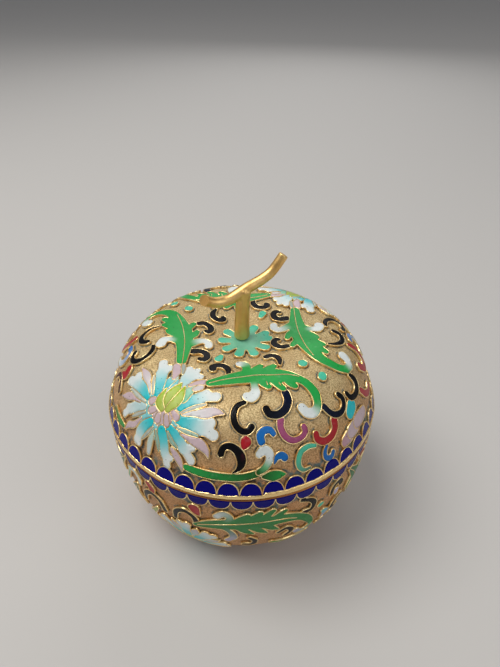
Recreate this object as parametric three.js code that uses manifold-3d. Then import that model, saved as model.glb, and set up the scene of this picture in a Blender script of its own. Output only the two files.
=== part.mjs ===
// A round lidded box of gilt copper, apple-shaped, with raised cloisonne enamel cells, gilt rims
// where lid and bowl meet, and a brass twig for a handle.
// Millimetres, +Z up. The origin is the centre of the underside.
import * as THREE from 'three';
import { mergeVertices } from 'three/addons/utils/BufferGeometryUtils.js';
import Module from 'manifold-3d';

const wasm = await Module();
wasm.setup();

const DEGREE = Math.PI / 180;
const FINEST_DETAIL = 0.03; // joined solids drop slivers thinner than this

// ---------------------------------------------------------------- driving dimensions
const RIM_RADIUS = 40; // outside of both gilt rims, the widest part
const SEAM_Z = 41.2; // the plane where the lid meets the bowl
const SEAM_GAP = 0.3; // hairline between the two rims
const WALL = 1.6; // copper and enamel together
const GROUND_RADIUS = 39.2; // gilt ground at the rims, the enamel stands proud of it
const RELIEF = 0.75; // height of the enamel cells above the gilt ground
const BORDER_RELIEF = 0.6; // and of the scallops

const LID_RIM_HEIGHT = 0.95;
const LID_BASE_Z = SEAM_Z + SEAM_GAP / 2 + LID_RIM_HEIGHT;
const LID_SHOULDER_RADIUS = 20; // where the shoulder turns flat
const LID_SHOULDER_Z = SEAM_Z + 20.8;
const LID_CENTRE_Z = SEAM_Z + 19.6; // the top is slightly sunk at the handle, like an apple
const LID_LEAN = 16 * DEGREE; // how far the side of the lid leans in at its rim
const LID_SHOULDER_PULL = 13; // how far the flat of the shoulder carries on before it turns down
const LID_SIDE_PULL = 0.6; // share of the lid's height over which its side stays straight

const BOWL_RIM_HEIGHT = 0.65;
const BOWL_TOP_Z = SEAM_Z - SEAM_GAP / 2 - BOWL_RIM_HEIGHT;
const BOWL_FLOOR_RADIUS = 20; // where the side turns into the flat underside
const BOWL_SIDE_PULL = 0.42; // the bowl's side hangs straight down to this share of its height
const BOWL_BELLY_PULL = 12; // how far the flat of the underside carries on before it turns up
const COLLAR_RADIUS = 36.8; // upright collar inside the bowl's rim, which locates the lid
const COLLAR_THICKNESS = 1;
const COLLAR_HEIGHT = 2.2; // above the seam
const FOOT_OUTER_RADIUS = 19.6;
const FOOT_INNER_RADIUS = 16.5;
const FOOT_HEIGHT = 0.4;
const UNDERSIDE_RECESS = 1.6;

const SCALLOPS = 44; // cobalt scallops all round, above and below the seam
const LID_SCALLOP_PHASE = -94 * DEGREE; // bearing of one scallop's middle
const BOWL_SCALLOP_PHASE = -97.3 * DEGREE;
const LID_SCALLOP_DEPTH = 3.9;
const BOWL_SCALLOP_DEPTH = 3.3;
const SCALLOP_CLEAR = 0.2; // between a scallop and the rim
const BUD_WIDTH = 7; // the bud in a lotus, and it stands BUD_RISE above the petals
const BUD_RISE = 0.3;
const SCALLOP_FOOT = 0.3; // share of its depth where a scallop meets the next one
const SCALLOP_TURN = 2 * Math.PI / SCALLOPS;

const STEM_BASE_RADIUS = 2.3;
const STEM_TOP_RADIUS = 1.85;
const STEM_TOP_Z = SEAM_Z + 36.2;
const BRANCH_RADIUS = 1.5;
const BRANCH_BEARING = 25 * DEGREE;

const RIM_FACETS = SCALLOPS;
const GROUND_SINK = 0.5; // how far the cells go down into the wall they stand on

// ---------------------------------------------------------------- solids
const toPoint = ([x, y]) => new THREE.Vector2(x, y);

// A closed geometry becomes a solid for joining and cutting. Slivers at the axis are dropped.
function solidFrom(geometry) {
  const bare = geometry.clone();
  bare.deleteAttribute('normal');
  bare.deleteAttribute('uv');
  const merged = mergeVertices(bare, 1e-4);
  const index = merged.index.array;
  const triVerts = [];
  for (let i = 0; i < index.length; i += 3) {
    const [a, b, c] = [index[i], index[i + 1], index[i + 2]];
    if (a !== b && b !== c && c !== a) triVerts.push(a, b, c);
  }
  return new wasm.Manifold(new wasm.Mesh({
    numProp: 3,
    vertProperties: new Float32Array(merged.attributes.position.array),
    triVerts: new Uint32Array(triVerts),
  }));
}

function geometryFrom(solid) {
  const { numProp, vertProperties, triVerts } = solid.asOriginal().simplify(FINEST_DETAIL).getMesh();
  const positions = new Float32Array(vertProperties.length / numProp * 3);
  for (let i = 0; i < positions.length / 3; i++) {
    for (let k = 0; k < 3; k++) positions[3 * i + k] = vertProperties[numProp * i + k];
  }
  const geometry = new THREE.BufferGeometry();
  geometry.setAttribute('position', new THREE.BufferAttribute(positions, 3));
  geometry.setIndex(new THREE.BufferAttribute(new Uint32Array(triVerts), 1));
  return geometry;
}

// Turns a counter-clockwise profile of (radius, height) points about the Z axis, in flat facets.
function turned(profile, facets, firstEdge = 0) {
  const geometry = new THREE.LatheGeometry(profile, facets);
  geometry.rotateX(Math.PI / 2);
  geometry.rotateZ(Math.PI / 2 + firstEdge);
  return solidFrom(geometry);
}

const joined = (solids) => wasm.Manifold.union(solids);

// ---------------------------------------------------------------- ground profiles
// Both profiles run as curves of (radius, height), so a motif is laid out flat by arc length
// and then wrapped on.
function lidProfile() {
  const straight = (LID_SHOULDER_Z - LID_BASE_Z) * LID_SIDE_PULL;
  const crown = new THREE.CubicBezierCurve(
    new THREE.Vector2(0, LID_CENTRE_Z),
    new THREE.Vector2(LID_SHOULDER_RADIUS / 2, LID_CENTRE_Z),
    new THREE.Vector2(LID_SHOULDER_RADIUS / 2, LID_SHOULDER_Z),
    new THREE.Vector2(LID_SHOULDER_RADIUS, LID_SHOULDER_Z));
  const shoulder = new THREE.CubicBezierCurve(
    new THREE.Vector2(LID_SHOULDER_RADIUS, LID_SHOULDER_Z),
    new THREE.Vector2(LID_SHOULDER_RADIUS + LID_SHOULDER_PULL, LID_SHOULDER_Z),
    new THREE.Vector2(GROUND_RADIUS - straight * Math.sin(LID_LEAN),
      LID_BASE_Z + straight * Math.cos(LID_LEAN)),
    new THREE.Vector2(GROUND_RADIUS, LID_BASE_Z));
  const path = new THREE.CurvePath();
  path.add(crown);
  path.add(shoulder);
  return path;
}

function bowlProfile() {
  const path = new THREE.CurvePath();
  path.add(new THREE.CubicBezierCurve(
    new THREE.Vector2(GROUND_RADIUS, BOWL_TOP_Z),
    new THREE.Vector2(GROUND_RADIUS, BOWL_TOP_Z * BOWL_SIDE_PULL),
    new THREE.Vector2(BOWL_FLOOR_RADIUS + BOWL_BELLY_PULL, FOOT_HEIGHT),
    new THREE.Vector2(BOWL_FLOOR_RADIUS, FOOT_HEIGHT)));
  return path;
}

// A point at arc length s along a profile, moved out by lift along the surface normal.
function onProfile(path, s, lift) {
  const t = THREE.MathUtils.clamp(s / path.getLength(), 0, 1);
  const point = path.getPointAt(t);
  const along = path.getTangentAt(t);
  return point.add(new THREE.Vector2(-along.y, along.x).multiplyScalar(lift));
}

const LID = lidProfile();
const BOWL = bowlProfile();
const LID_RUN = LID.getLength();

function offsetProfile(path, lift, steps) {
  const run = path.getLength();
  return Array.from({ length: steps + 1 }, (_, i) => onProfile(path, run * i / steps, lift));
}

// Flat lid plan (x, y) from the centre, y away from the front: its distance from the centre
// is arc length over the crown.
function onLid(x, y, lift) {
  const p = onProfile(LID, Math.hypot(x, y), lift);
  const bearing = Math.atan2(y, x);
  return new THREE.Vector3(p.x * Math.cos(bearing), p.x * Math.sin(bearing), p.y);
}

// Flat bowl plan: x is the distance round the rim from the +X side, y is minus the arc length
// down from the bowl's top edge.
function onBowl(x, y, lift) {
  const p = onProfile(BOWL, -y, lift);
  const bearing = x / RIM_RADIUS;
  return new THREE.Vector3(p.x * Math.cos(bearing), p.x * Math.sin(bearing), p.y);
}

// ---------------------------------------------------------------- cells on the ground
// A raised cell is a box bent onto the surface. place(t, side, lift) says where its corners go:
// t runs 0 to 1 along it and side -1 to 1 across it.
function bentBox(steps, height, place) {
  const geometry = new THREE.BoxGeometry(1, 2, 1, steps, 1, 1);
  const position = geometry.attributes.position;
  for (let i = 0; i < position.count; i++) {
    const lift = position.getZ(i) > 0 ? height : -GROUND_SINK;
    const p = place(position.getX(i) + 0.5, position.getY(i), lift);
    position.setXYZ(i, p.x, p.y, p.z);
  }
  return solidFrom(geometry);
}

// A stroke of varying width along a smooth curve through a few points.
function stroke(on, points, widthAt, { steps, height }) {
  const curve = new THREE.SplineCurve(points.map(toPoint));
  return bentBox(steps, height, (t, side, lift) => {
    const p = curve.getPointAt(t);
    const along = curve.getTangentAt(t);
    const out = side * widthAt(t) / 2;
    return on(p.x - along.y * out, p.y + along.x * out, lift);
  });
}

// A scroll swells a little to its rolled end.
const scroll = (on, { path, width }) =>
  stroke(on, path, (t) => width * (0.75 + 0.35 * t), { steps: 3, height: RELIEF });

// An acanthus leaf: it swells along its spine, and both edges break into lobes past its stalk.
function leaf(on, { spine, width, lobes }) {
  const steps = 2 * lobes + 2;
  const curve = new THREE.SplineCurve(spine.map(toPoint));
  return bentBox(steps, RELIEF, (t, side, lift) => {
    const swell = Math.max(0.2, Math.sin(Math.PI * (0.08 + 0.88 * t)) ** 0.8);
    const lobe = t > 0.25 && t < 0.8 && Math.round(t * steps) % 2 ? 1.3 : 0.8;
    const p = curve.getPointAt(t);
    const along = curve.getTangentAt(t);
    const out = side * width * swell * lobe / 2;
    const lean = lobe > 1 ? 1.2 : 0;
    return on(p.x - along.y * out + along.x * lean, p.y + along.x * out + along.y * lean, lift);
  });
}

function disc(on, x, y, radius, sides, height) {
  const geometry = new THREE.CylinderGeometry(radius, radius, 1, sides);
  geometry.rotateX(Math.PI / 2);
  const position = geometry.attributes.position;
  for (let i = 0; i < position.count; i++) {
    const lift = position.getZ(i) > 0 ? height : -GROUND_SINK;
    const p = on(x + position.getX(i), y + position.getY(i), lift);
    position.setXYZ(i, p.x, p.y, p.z);
  }
  return solidFrom(geometry);
}

const polar = ([x, y], radius, degrees) =>
  [x + radius * Math.cos(degrees * DEGREE), y + radius * Math.sin(degrees * DEGREE)];

// A lotus: broad petals with notched ends round a pointed bud. Its plate is turned about its own
// centre in four steps a petal: one lobe, the notch, the other lobe, and the gap to the next petal.
function lotus(on, { centre, petals, reach, firstPetal, bud }) {
  const heart = reach * 0.42;
  const outline = [reach, reach * 0.86, reach, reach * 0.66];
  const section = [[0, 1], [heart, 1], [reach, 1], [reach, -1], [heart, -1], [0, -1]].map(toPoint);
  const geometry = new THREE.LatheGeometry(section, outline.length * petals);
  const position = geometry.attributes.position;
  for (let i = 0; i < position.count; i++) {
    const bearing = Math.atan2(position.getZ(i), position.getX(i)) / DEGREE;
    const radius = Math.hypot(position.getX(i), position.getZ(i));
    const step = Math.round(bearing / 360 * outline.length * petals) + outline.length * petals;
    const stretched = radius > heart + 0.1 ? outline[step % outline.length] : radius;
    const [x, y] = polar(centre, stretched, firstPetal + bearing);
    const p = on(x, y, position.getY(i) > 0 ? RELIEF : -GROUND_SINK);
    position.setXYZ(i, p.x, p.y, p.z);
  }
  const budWidth = (t) => BUD_WIDTH * Math.sin(Math.PI * (0.15 + 0.8 * t));
  const cells = bud ? [stroke(on, bud, budWidth, { steps: 3, height: RELIEF + BUD_RISE })] : [];
  return [solidFrom(geometry), ...cells];
}

// A border of scallops round a rim, three steps to each, with the middle of one at phase.
// edge(bearing, depth, lift) says where its corners go.
function scallopBorder(depth, phase, edge) {
  const inner = 10; // the flat ring's own radii, before it is bent onto the rim
  const section = [[inner, 1], [inner + 1, 1], [inner + 1, -1], [inner, -1], [inner, 1]].map(toPoint);
  const geometry = new THREE.LatheGeometry(section, 3 * SCALLOPS);
  const position = geometry.attributes.position;
  for (let i = 0; i < position.count; i++) {
    const bearing = Math.atan2(position.getZ(i), position.getX(i));
    const free = Math.hypot(position.getX(i), position.getZ(i)) > inner + 0.5;
    const step = Math.round(bearing / (2 * Math.PI) * 3 * SCALLOPS) + 3 * SCALLOPS;
    const reach = free ? depth * (step % 3 ? 1 : SCALLOP_FOOT) : 0;
    const p = edge(phase + SCALLOP_TURN / 2 + bearing, SCALLOP_CLEAR + reach,
      position.getY(i) > 0 ? BORDER_RELIEF : -GROUND_SINK);
    position.setXYZ(i, p.x, p.y, p.z);
  }
  return solidFrom(geometry);
}

// Cells, and the same again half a turn round.
function bothHalves(cells) {
  const half = joined(cells);
  return joined([half, half.rotate([0, 0, 180])]);
}

// ---------------------------------------------------------------- the two patterns
// Half of the lid's pattern. The other half is the same turned by half a turn.
const LID_LEAVES = [
  { width: 8, lobes: 4,
    spine: [[-15.5, -13.3], [-16, -5], [-17.3, 1], [-19.6, 6.5], [-22.5, 10.4], [-26, 12.2],
      [-29.5, 10.5]] },
  { width: 8, lobes: 4,
    spine: [[-8, -20.6], [-2.5, -19.2], [3.5, -17.8], [9, -17.6], [14.5, -19], [18.4, -21.8],
      [19.6, -25], [16.6, -27.8]] },
];
const LID_SCROLLS = [
  { width: 1.6, path: [[-23.8, 3.6], [-27.4, 2.6], [-28.8, -0.8], [-26.4, -3.1]] },
  { width: 1.9, path: [[-24.1, -5.2], [-25.4, -8.7], [-29, -9.3], [-30.5, -7]] },
  { width: 1.9, path: [[28.9, -13.2], [32.4, -13.6], [32.9, -17.4], [29.2, -19.3]] },
  { width: 1.7, path: [[21.1, -25.2], [25.2, -26], [28, -23], [25.6, -20]] },
  { width: 2, path: [[11.2, -22.9], [12, -26.4], [9, -29.8], [6.2, -27.8]] },
  { width: 2, path: [[-5, -38.6], [-1.8, -36.8], [0.8, -39.8], [-1.1, -42.6]] },
  { width: 2, path: [[25.6, -27.1], [26.1, -31.2], [22.6, -33.8], [19.8, -31.8]] },
  { width: 2, path: [[31, -1], [35.2, -1], [37.2, -4.4], [34.3, -7]] },
  { width: 4.4, path: [[36.6, -20.4], [34.4, -24.6], [31, -29.4]] },
];
const LID_LOTUS = {
  centre: [-19.5, -25.6], petals: 10, reach: 13.8, firstPetal: 4,
  bud: [[-20.5, -27.4], [-17.6, -24.4], [-13.6, -19.9]],
};
const CENTRE_FLOWER = { centre: [1, -1.7], lobes: 10, ring: 6.2, lobeRadius: 1.7, heart: 5.4 };

// Half of the bowl's pattern, as degrees round from the +X side and depth below the top edge.
const onRim = ([degrees, depth]) => [degrees * DEGREE * RIM_RADIUS, -depth];
const BOWL_LEAVES = [
  { width: 8.4, lobes: 4,
    spine: [[-111, 15.5], [-100, 11.6], [-88, 9.8], [-76, 9.2], [-67, 11.4], [-61, 15.8], [-59.5, 21]] },
  { width: 8, lobes: 4, spine: [[-40, 5], [-34, 11], [-27, 17], [-21, 24], [-19, 31], [-25, 34]] },
  { width: 8, lobes: 4, spine: [[-142, 9], [-146, 15], [-150, 22], [-157, 26], [-163, 22]] },
];
const BOWL_SCROLLS = [
  { width: 2, path: [[-117, 14], [-114.5, 8.6], [-110, 8.2], [-107, 12]] },
  { width: 2, path: [[-132, 15], [-129, 8.8], [-124, 8.4], [-121.5, 13.5]] },
  { width: 1.8, path: [[-66, 4], [-60.6, 6.4], [-62.6, 10.4]] },
  { width: 1.8, path: [[-176, 9], [-171, 5.5], [-167, 10]] },
];
const BOWL_LOTUS = { centre: onRim([-112, 31]), petals: 9, reach: 12, firstPetal: 6 };

// ---------------------------------------------------------------- laying the patterns on
function lidCells() {
  const half = [...LID_LEAVES.map((motif) => leaf(onLid, motif)),
    ...LID_SCROLLS.map((motif) => scroll(onLid, motif)), ...lotus(onLid, LID_LOTUS)];
  const { centre, lobes, ring, lobeRadius, heart } = CENTRE_FLOWER;
  const flower = [disc(onLid, ...centre, heart, 12, RELIEF)];
  for (let i = 0; i < lobes; i++) {
    flower.push(disc(onLid, ...polar(centre, ring, (i + 0.1) / lobes * 360), lobeRadius, 6, RELIEF - 0.15));
  }
  const border = scallopBorder(LID_SCALLOP_DEPTH, LID_SCALLOP_PHASE, (bearing, depth, lift) => {
    const s = LID_RUN - depth;
    return onLid(s * Math.cos(bearing), s * Math.sin(bearing), lift);
  });
  return joined([bothHalves(half), ...flower, border]);
}

function bowlCells() {
  const leaves = BOWL_LEAVES.map((motif) => leaf(onBowl, { ...motif, spine: motif.spine.map(onRim) }));
  const scrolls = BOWL_SCROLLS.map((motif) => scroll(onBowl, { ...motif, path: motif.path.map(onRim) }));
  const half = [...leaves, ...scrolls, ...lotus(onBowl, BOWL_LOTUS)];
  const border = scallopBorder(BOWL_SCALLOP_DEPTH, BOWL_SCALLOP_PHASE, (bearing, depth, lift) =>
    onBowl(bearing * RIM_RADIUS, -depth, lift));
  return joined([bothHalves(half), border]);
}

// ---------------------------------------------------------------- the pieces
const GILT = { color: 0xbe9b5f, roughness: 0.5, metalness: 0.9 };
const RIM_GILT = { color: 0xd6b06a, roughness: 0.3, metalness: 1 };
const BRASS = { color: 0xc9a15a, roughness: 0.35, metalness: 1 };

function lidGeometry() {
  const outer = offsetProfile(LID, 0, 9);
  const inner = offsetProfile(LID, -WALL, 6);
  inner[inner.length - 1].y = LID_BASE_Z;
  const firstFacet = LID_SCALLOP_PHASE + SCALLOP_TURN / 2;
  const shell = turned([...outer, ...inner.reverse()].reverse(), SCALLOPS, firstFacet);
  return geometryFrom(shell.add(lidCells()));
}

function bowlGeometry() {
  const outer = offsetProfile(BOWL, 0, 8);
  const inner = offsetProfile(BOWL, -WALL, 6).reverse();
  const floorZ = UNDERSIDE_RECESS + WALL;
  const floor = inner.filter((p) => p.y > floorZ);
  const under = [[0, UNDERSIDE_RECESS], [FOOT_INNER_RADIUS - 1, UNDERSIDE_RECESS], [FOOT_INNER_RADIUS, 0],
    [FOOT_OUTER_RADIUS, 0]].map(toPoint);
  const shell = turned([...under, ...outer.reverse(), ...floor.reverse(), new THREE.Vector2(0, floorZ)],
    SCALLOPS, BOWL_SCALLOP_PHASE + SCALLOP_TURN / 2);
  return geometryFrom(shell.add(bowlCells()));
}

// The bowl's gilt rim is an angle section: a flange on the wall's edge, and the collar inside it.
function bowlRimGeometry() {
  const top = SEAM_Z - SEAM_GAP / 2;
  const inside = COLLAR_RADIUS - COLLAR_THICKNESS;
  const section = [[inside, BOWL_TOP_Z], [RIM_RADIUS - 0.3, BOWL_TOP_Z], [RIM_RADIUS, BOWL_TOP_Z + 0.25],
    [RIM_RADIUS, top - 0.2], [RIM_RADIUS - 0.2, top], [COLLAR_RADIUS, top],
    [COLLAR_RADIUS, SEAM_Z + COLLAR_HEIGHT], [inside, SEAM_Z + COLLAR_HEIGHT], [inside, BOWL_TOP_Z]];
  return geometryFrom(turned(section.map(toPoint), RIM_FACETS));
}

function lidRimGeometry() {
  const bottom = SEAM_Z + SEAM_GAP / 2;
  const inside = COLLAR_RADIUS + SEAM_GAP;
  const section = [[inside, bottom], [RIM_RADIUS - 0.3, bottom], [RIM_RADIUS, bottom + 0.3],
    [RIM_RADIUS - 0.1, bottom + 0.65], [RIM_RADIUS - 0.5, LID_BASE_Z], [inside, LID_BASE_Z],
    [inside, bottom]];
  return geometryFrom(turned(section.map(toPoint), RIM_FACETS));
}

// The twig: an upright stem, and a crooked branch across its top with a slanting cut at one end.
function twigGeometry() {
  const stemBase = LID_CENTRE_Z + RELIEF + SEAM_GAP;
  const stem = turned([[0, stemBase], [STEM_BASE_RADIUS, stemBase], [STEM_BASE_RADIUS - 0.2, stemBase + 4],
    [STEM_TOP_RADIUS, STEM_TOP_Z], [0, STEM_TOP_Z]].map(toPoint), 10);
  // distance along the branch's bearing, and height above the seam
  const crook = [[-12.4, 37], [-7.8, 34.2], [-3, 34.2], [2, 36.5], [6, 38], [9.6, 40.6], [12.2, 44]];
  const route = new THREE.CatmullRomCurve3(crook.map(([along, height]) => new THREE.Vector3(
    along * Math.cos(BRANCH_BEARING), along * Math.sin(BRANCH_BEARING), SEAM_Z + height)));
  const section = new THREE.Shape();
  section.absarc(0, 0, BRANCH_RADIUS, 0, 2 * Math.PI);
  const branch = solidFrom(new THREE.ExtrudeGeometry(section,
    { steps: 10, curveSegments: 8, extrudePath: route, bevelEnabled: false }));
  const cutNormal = new THREE.Vector3(-0.52, -0.62, 0.6).normalize();
  const cutCentre = route.getPointAt(0.08);
  const cutter = new THREE.BoxGeometry(12, 12, 12);
  cutter.translate(0, 0, 6);
  cutter.applyQuaternion(new THREE.Quaternion().setFromUnitVectors(new THREE.Vector3(0, 0, 1), cutNormal));
  cutter.translate(cutCentre.x, cutCentre.y, cutCentre.z);
  return geometryFrom(branch.subtract(solidFrom(cutter)).add(stem));
}

function piece(name, geometry, finish) {
  const mesh = new THREE.Mesh(geometry, new THREE.MeshStandardMaterial(finish));
  mesh.name = name;
  return mesh;
}

const group = new THREE.Group();
group.add(piece('bowl', bowlGeometry(), GILT));
group.add(piece('bowl_rim', bowlRimGeometry(), RIM_GILT));
group.add(piece('lid', lidGeometry(), GILT));
group.add(piece('lid_rim', lidRimGeometry(), RIM_GILT));
group.add(piece('twig_handle', twigGeometry(), BRASS));

export default group;
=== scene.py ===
import math

import bmesh
import bpy
import numpy as np
from mathutils import Matrix, Vector
from mathutils.geometry import delaunay_2d_cdt
from mathutils.kdtree import KDTree

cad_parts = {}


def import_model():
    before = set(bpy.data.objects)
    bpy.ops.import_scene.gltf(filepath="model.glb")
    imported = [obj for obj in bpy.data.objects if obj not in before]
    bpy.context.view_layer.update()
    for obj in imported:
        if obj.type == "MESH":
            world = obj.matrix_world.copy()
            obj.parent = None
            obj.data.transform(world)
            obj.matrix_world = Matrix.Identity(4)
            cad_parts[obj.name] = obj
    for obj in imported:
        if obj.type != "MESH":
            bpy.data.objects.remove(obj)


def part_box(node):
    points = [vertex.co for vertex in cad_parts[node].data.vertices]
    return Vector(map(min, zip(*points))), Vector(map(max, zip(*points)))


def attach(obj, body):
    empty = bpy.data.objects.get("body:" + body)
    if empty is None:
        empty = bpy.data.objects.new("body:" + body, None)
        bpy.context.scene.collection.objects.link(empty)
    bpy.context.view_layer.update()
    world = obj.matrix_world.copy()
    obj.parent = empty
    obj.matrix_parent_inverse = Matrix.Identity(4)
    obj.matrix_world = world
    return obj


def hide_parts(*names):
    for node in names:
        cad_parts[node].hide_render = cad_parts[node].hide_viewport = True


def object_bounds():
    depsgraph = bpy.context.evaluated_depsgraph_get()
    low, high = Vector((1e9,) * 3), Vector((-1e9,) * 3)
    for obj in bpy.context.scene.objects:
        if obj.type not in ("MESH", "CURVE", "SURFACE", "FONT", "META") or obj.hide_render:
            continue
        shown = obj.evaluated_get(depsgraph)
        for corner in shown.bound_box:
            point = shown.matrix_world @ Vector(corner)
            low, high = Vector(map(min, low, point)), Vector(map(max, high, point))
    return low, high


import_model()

# A round lidded box of gilt copper with raised cloisonne enamel cells. Plans and lifts are in
# millimetres, the meshes in metres.
MM = 0.001
cad_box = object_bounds()

# ---------------------------------------------------------------- sizes taken from the solids
rim_low, rim_high = (np.array(corner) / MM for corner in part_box("lid_rim"))
bowl_rim_low, bowl_rim_high = (np.array(corner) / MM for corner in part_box("bowl_rim"))

RIM_RADIUS = float(rim_high[0])
SEAM_GAP = 0.3
SEAM_Z = float(rim_low[2]) - SEAM_GAP / 2
LID_BASE_Z = float(rim_high[2])
BOWL_TOP_Z = float(bowl_rim_low[2])
COLLAR_TOP_Z = float(bowl_rim_high[2])
FOOT_HEIGHT = 0.4
WALL = 1.6
GROUND_RADIUS = RIM_RADIUS - 0.8
LID_SHOULDER_RADIUS = 20
LID_SHOULDER_Z = SEAM_Z + 20.8
LID_CENTRE_Z = SEAM_Z + 19.6
LID_LEAN = math.radians(16)
BOWL_FLOOR_RADIUS = 20
COLLAR_RADIUS = 36.8
FOOT_OUTER_RADIUS = 19.6
FOOT_INNER_RADIUS = 16.5
UNDERSIDE_RECESS = 1.6

SCALLOPS = 44
LID_SCALLOP_PHASE = math.radians(-94)
BOWL_SCALLOP_PHASE = math.radians(-97.3)
LID_SCALLOP_DEPTH = 3.9
BOWL_SCALLOP_DEPTH = 3.3
SCALLOP_CLEAR = 0.2

RELIEF = 0.75
WIRE_WIDTH = 0.31
BORDER_WIRE_WIDTH = 0.3
WIRE_HEIGHT = 0.74
BORDER_WIRE_HEIGHT = 0.62
WIRE_ROOT = -0.35
ENAMEL_ROOT = -0.3
ENAMEL_HEIGHT = 0.58
BORDER_ENAMEL_HEIGHT = 0.45
MENISCUS = 0.1
FIELD_STEP = 0.15
CELL_MARGIN = 0.4
SMALLEST_CELL = 0.35
SHARED_WIRE = 0.2
FILL_STEP = 0.6


# ---------------------------------------------------------------- colours
def linear(rgb):
    """sRGB 0-255 to linear."""
    c = np.array(rgb, float) / 255
    return np.where(c <= 0.04045, c / 12.92, ((c + 0.055) / 1.055) ** 2.4)


GREEN = linear((30, 162, 70))
PALE_GREEN = linear((104, 182, 118))
DEEP_GREEN = linear((14, 92, 24))
OLIVE = linear((92, 112, 38))
WHITE = linear((226, 232, 228))
LILAC = linear((190, 178, 205))
CYAN = linear((30, 196, 202))
TURQUOISE = linear((80, 196, 160))
COBALT = linear((2, 0, 116))
SKY = linear((4, 106, 184))
BLACK = linear((12, 12, 15))
BLUE_BLACK = linear((12, 22, 46))
MAROON = linear((70, 20, 32))
RED = linear((176, 24, 34))
MAUVE = linear((160, 70, 112))
ROSE = linear((196, 150, 160))
PALE_PINK = linear((206, 182, 186))
BUD = linear((170, 200, 50))
YELLOW = linear((176, 190, 84))
GREY_WHITE = linear((196, 204, 192))
SEA = linear((120, 200, 160))


# ---------------------------------------------------------------- the two grounds
class Profile:
    """A smooth curve of (radius, height), read by arc length from its first point."""

    def __init__(self, *curves):
        t = np.linspace(0, 1, 400)[:, None]
        parts = []
        for a, b, c, d in np.array(curves, float):
            parts.append((1 - t) ** 3 * a + 3 * (1 - t) ** 2 * t * b + 3 * (1 - t) * t * t * c + t ** 3 * d)
        self.points = np.vstack([parts[0]] + [p[1:] for p in parts[1:]])
        step = np.linalg.norm(np.diff(self.points, axis=0), axis=1)
        self.run = np.concatenate([[0], np.cumsum(step)])
        self.length = float(self.run[-1])
        self.along = np.gradient(self.points, self.run, axis=0)

    def at(self, s, lift=0.0):
        s = np.clip(s, 0, self.length)
        r, z = (np.interp(s, self.run, self.points[:, k]) for k in (0, 1))
        tr, tz = (np.interp(s, self.run, self.along[:, k]) for k in (0, 1))
        size = np.hypot(tr, tz)
        return r - lift * tz / size, z + lift * tr / size


side = LID_SHOULDER_Z - LID_BASE_Z
LID = Profile(
    [(0, LID_CENTRE_Z), (LID_SHOULDER_RADIUS / 2, LID_CENTRE_Z),
     (LID_SHOULDER_RADIUS / 2, LID_SHOULDER_Z), (LID_SHOULDER_RADIUS, LID_SHOULDER_Z)],
    [(LID_SHOULDER_RADIUS, LID_SHOULDER_Z), (LID_SHOULDER_RADIUS + 13, LID_SHOULDER_Z),
     (GROUND_RADIUS - side * 0.6 * math.sin(LID_LEAN), LID_BASE_Z + side * 0.6 * math.cos(LID_LEAN)),
     (GROUND_RADIUS, LID_BASE_Z)])
BOWL = Profile(
    [(GROUND_RADIUS, BOWL_TOP_Z), (GROUND_RADIUS, BOWL_TOP_Z * 0.42),
     (BOWL_FLOOR_RADIUS + 12, FOOT_HEIGHT), (BOWL_FLOOR_RADIUS, FOOT_HEIGHT)])
HALF_ROUND = math.pi * RIM_RADIUS


def on_lid(plan, lift=0.0):
    """A flat plan point's place on the lid: its distance from the centre is arc length."""
    s = np.hypot(plan[:, 0], plan[:, 1])
    r, z = LID.at(s, lift)
    across = np.where(s > 1e-6, r / np.maximum(s, 1e-6), 1)
    return np.column_stack([plan[:, 0] * across, plan[:, 1] * across, z])


def on_bowl(plan, lift=0.0):
    """x is the distance round the rim from the +X side, y minus the arc length down the side."""
    r, z = BOWL.at(-plan[:, 1], lift)
    bearing = plan[:, 0] / RIM_RADIUS
    return np.column_stack([r * np.cos(bearing), r * np.sin(bearing), z])


def turned_half(points):
    return points * np.array([-1, -1, 1])


# ---------------------------------------------------------------- cells as fields
def smooth_path(points, most=0.6):
    """A Catmull-Rom curve through rows of numbers, whose first two columns are its place."""
    p = np.array(points, float)
    if len(p) == 1:
        return p
    p = np.vstack([2 * p[0] - p[1], p, 2 * p[-1] - p[-2]])
    rows = []
    for i in range(1, len(p) - 2):
        a, b, c, d = p[i - 1], p[i], p[i + 1], p[i + 2]
        n = max(2, int(np.linalg.norm((c - b)[:2]) / most) + 1)
        t = np.linspace(0, 1, n, endpoint=False)[:, None]
        rows.append(0.5 * (2 * b + (c - a) * t + (2 * a - 5 * b + 4 * c - d) * t ** 2
                           + (3 * b - a - 3 * c + d) * t ** 3))
    return np.vstack(rows + [p[-2][None]])


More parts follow.
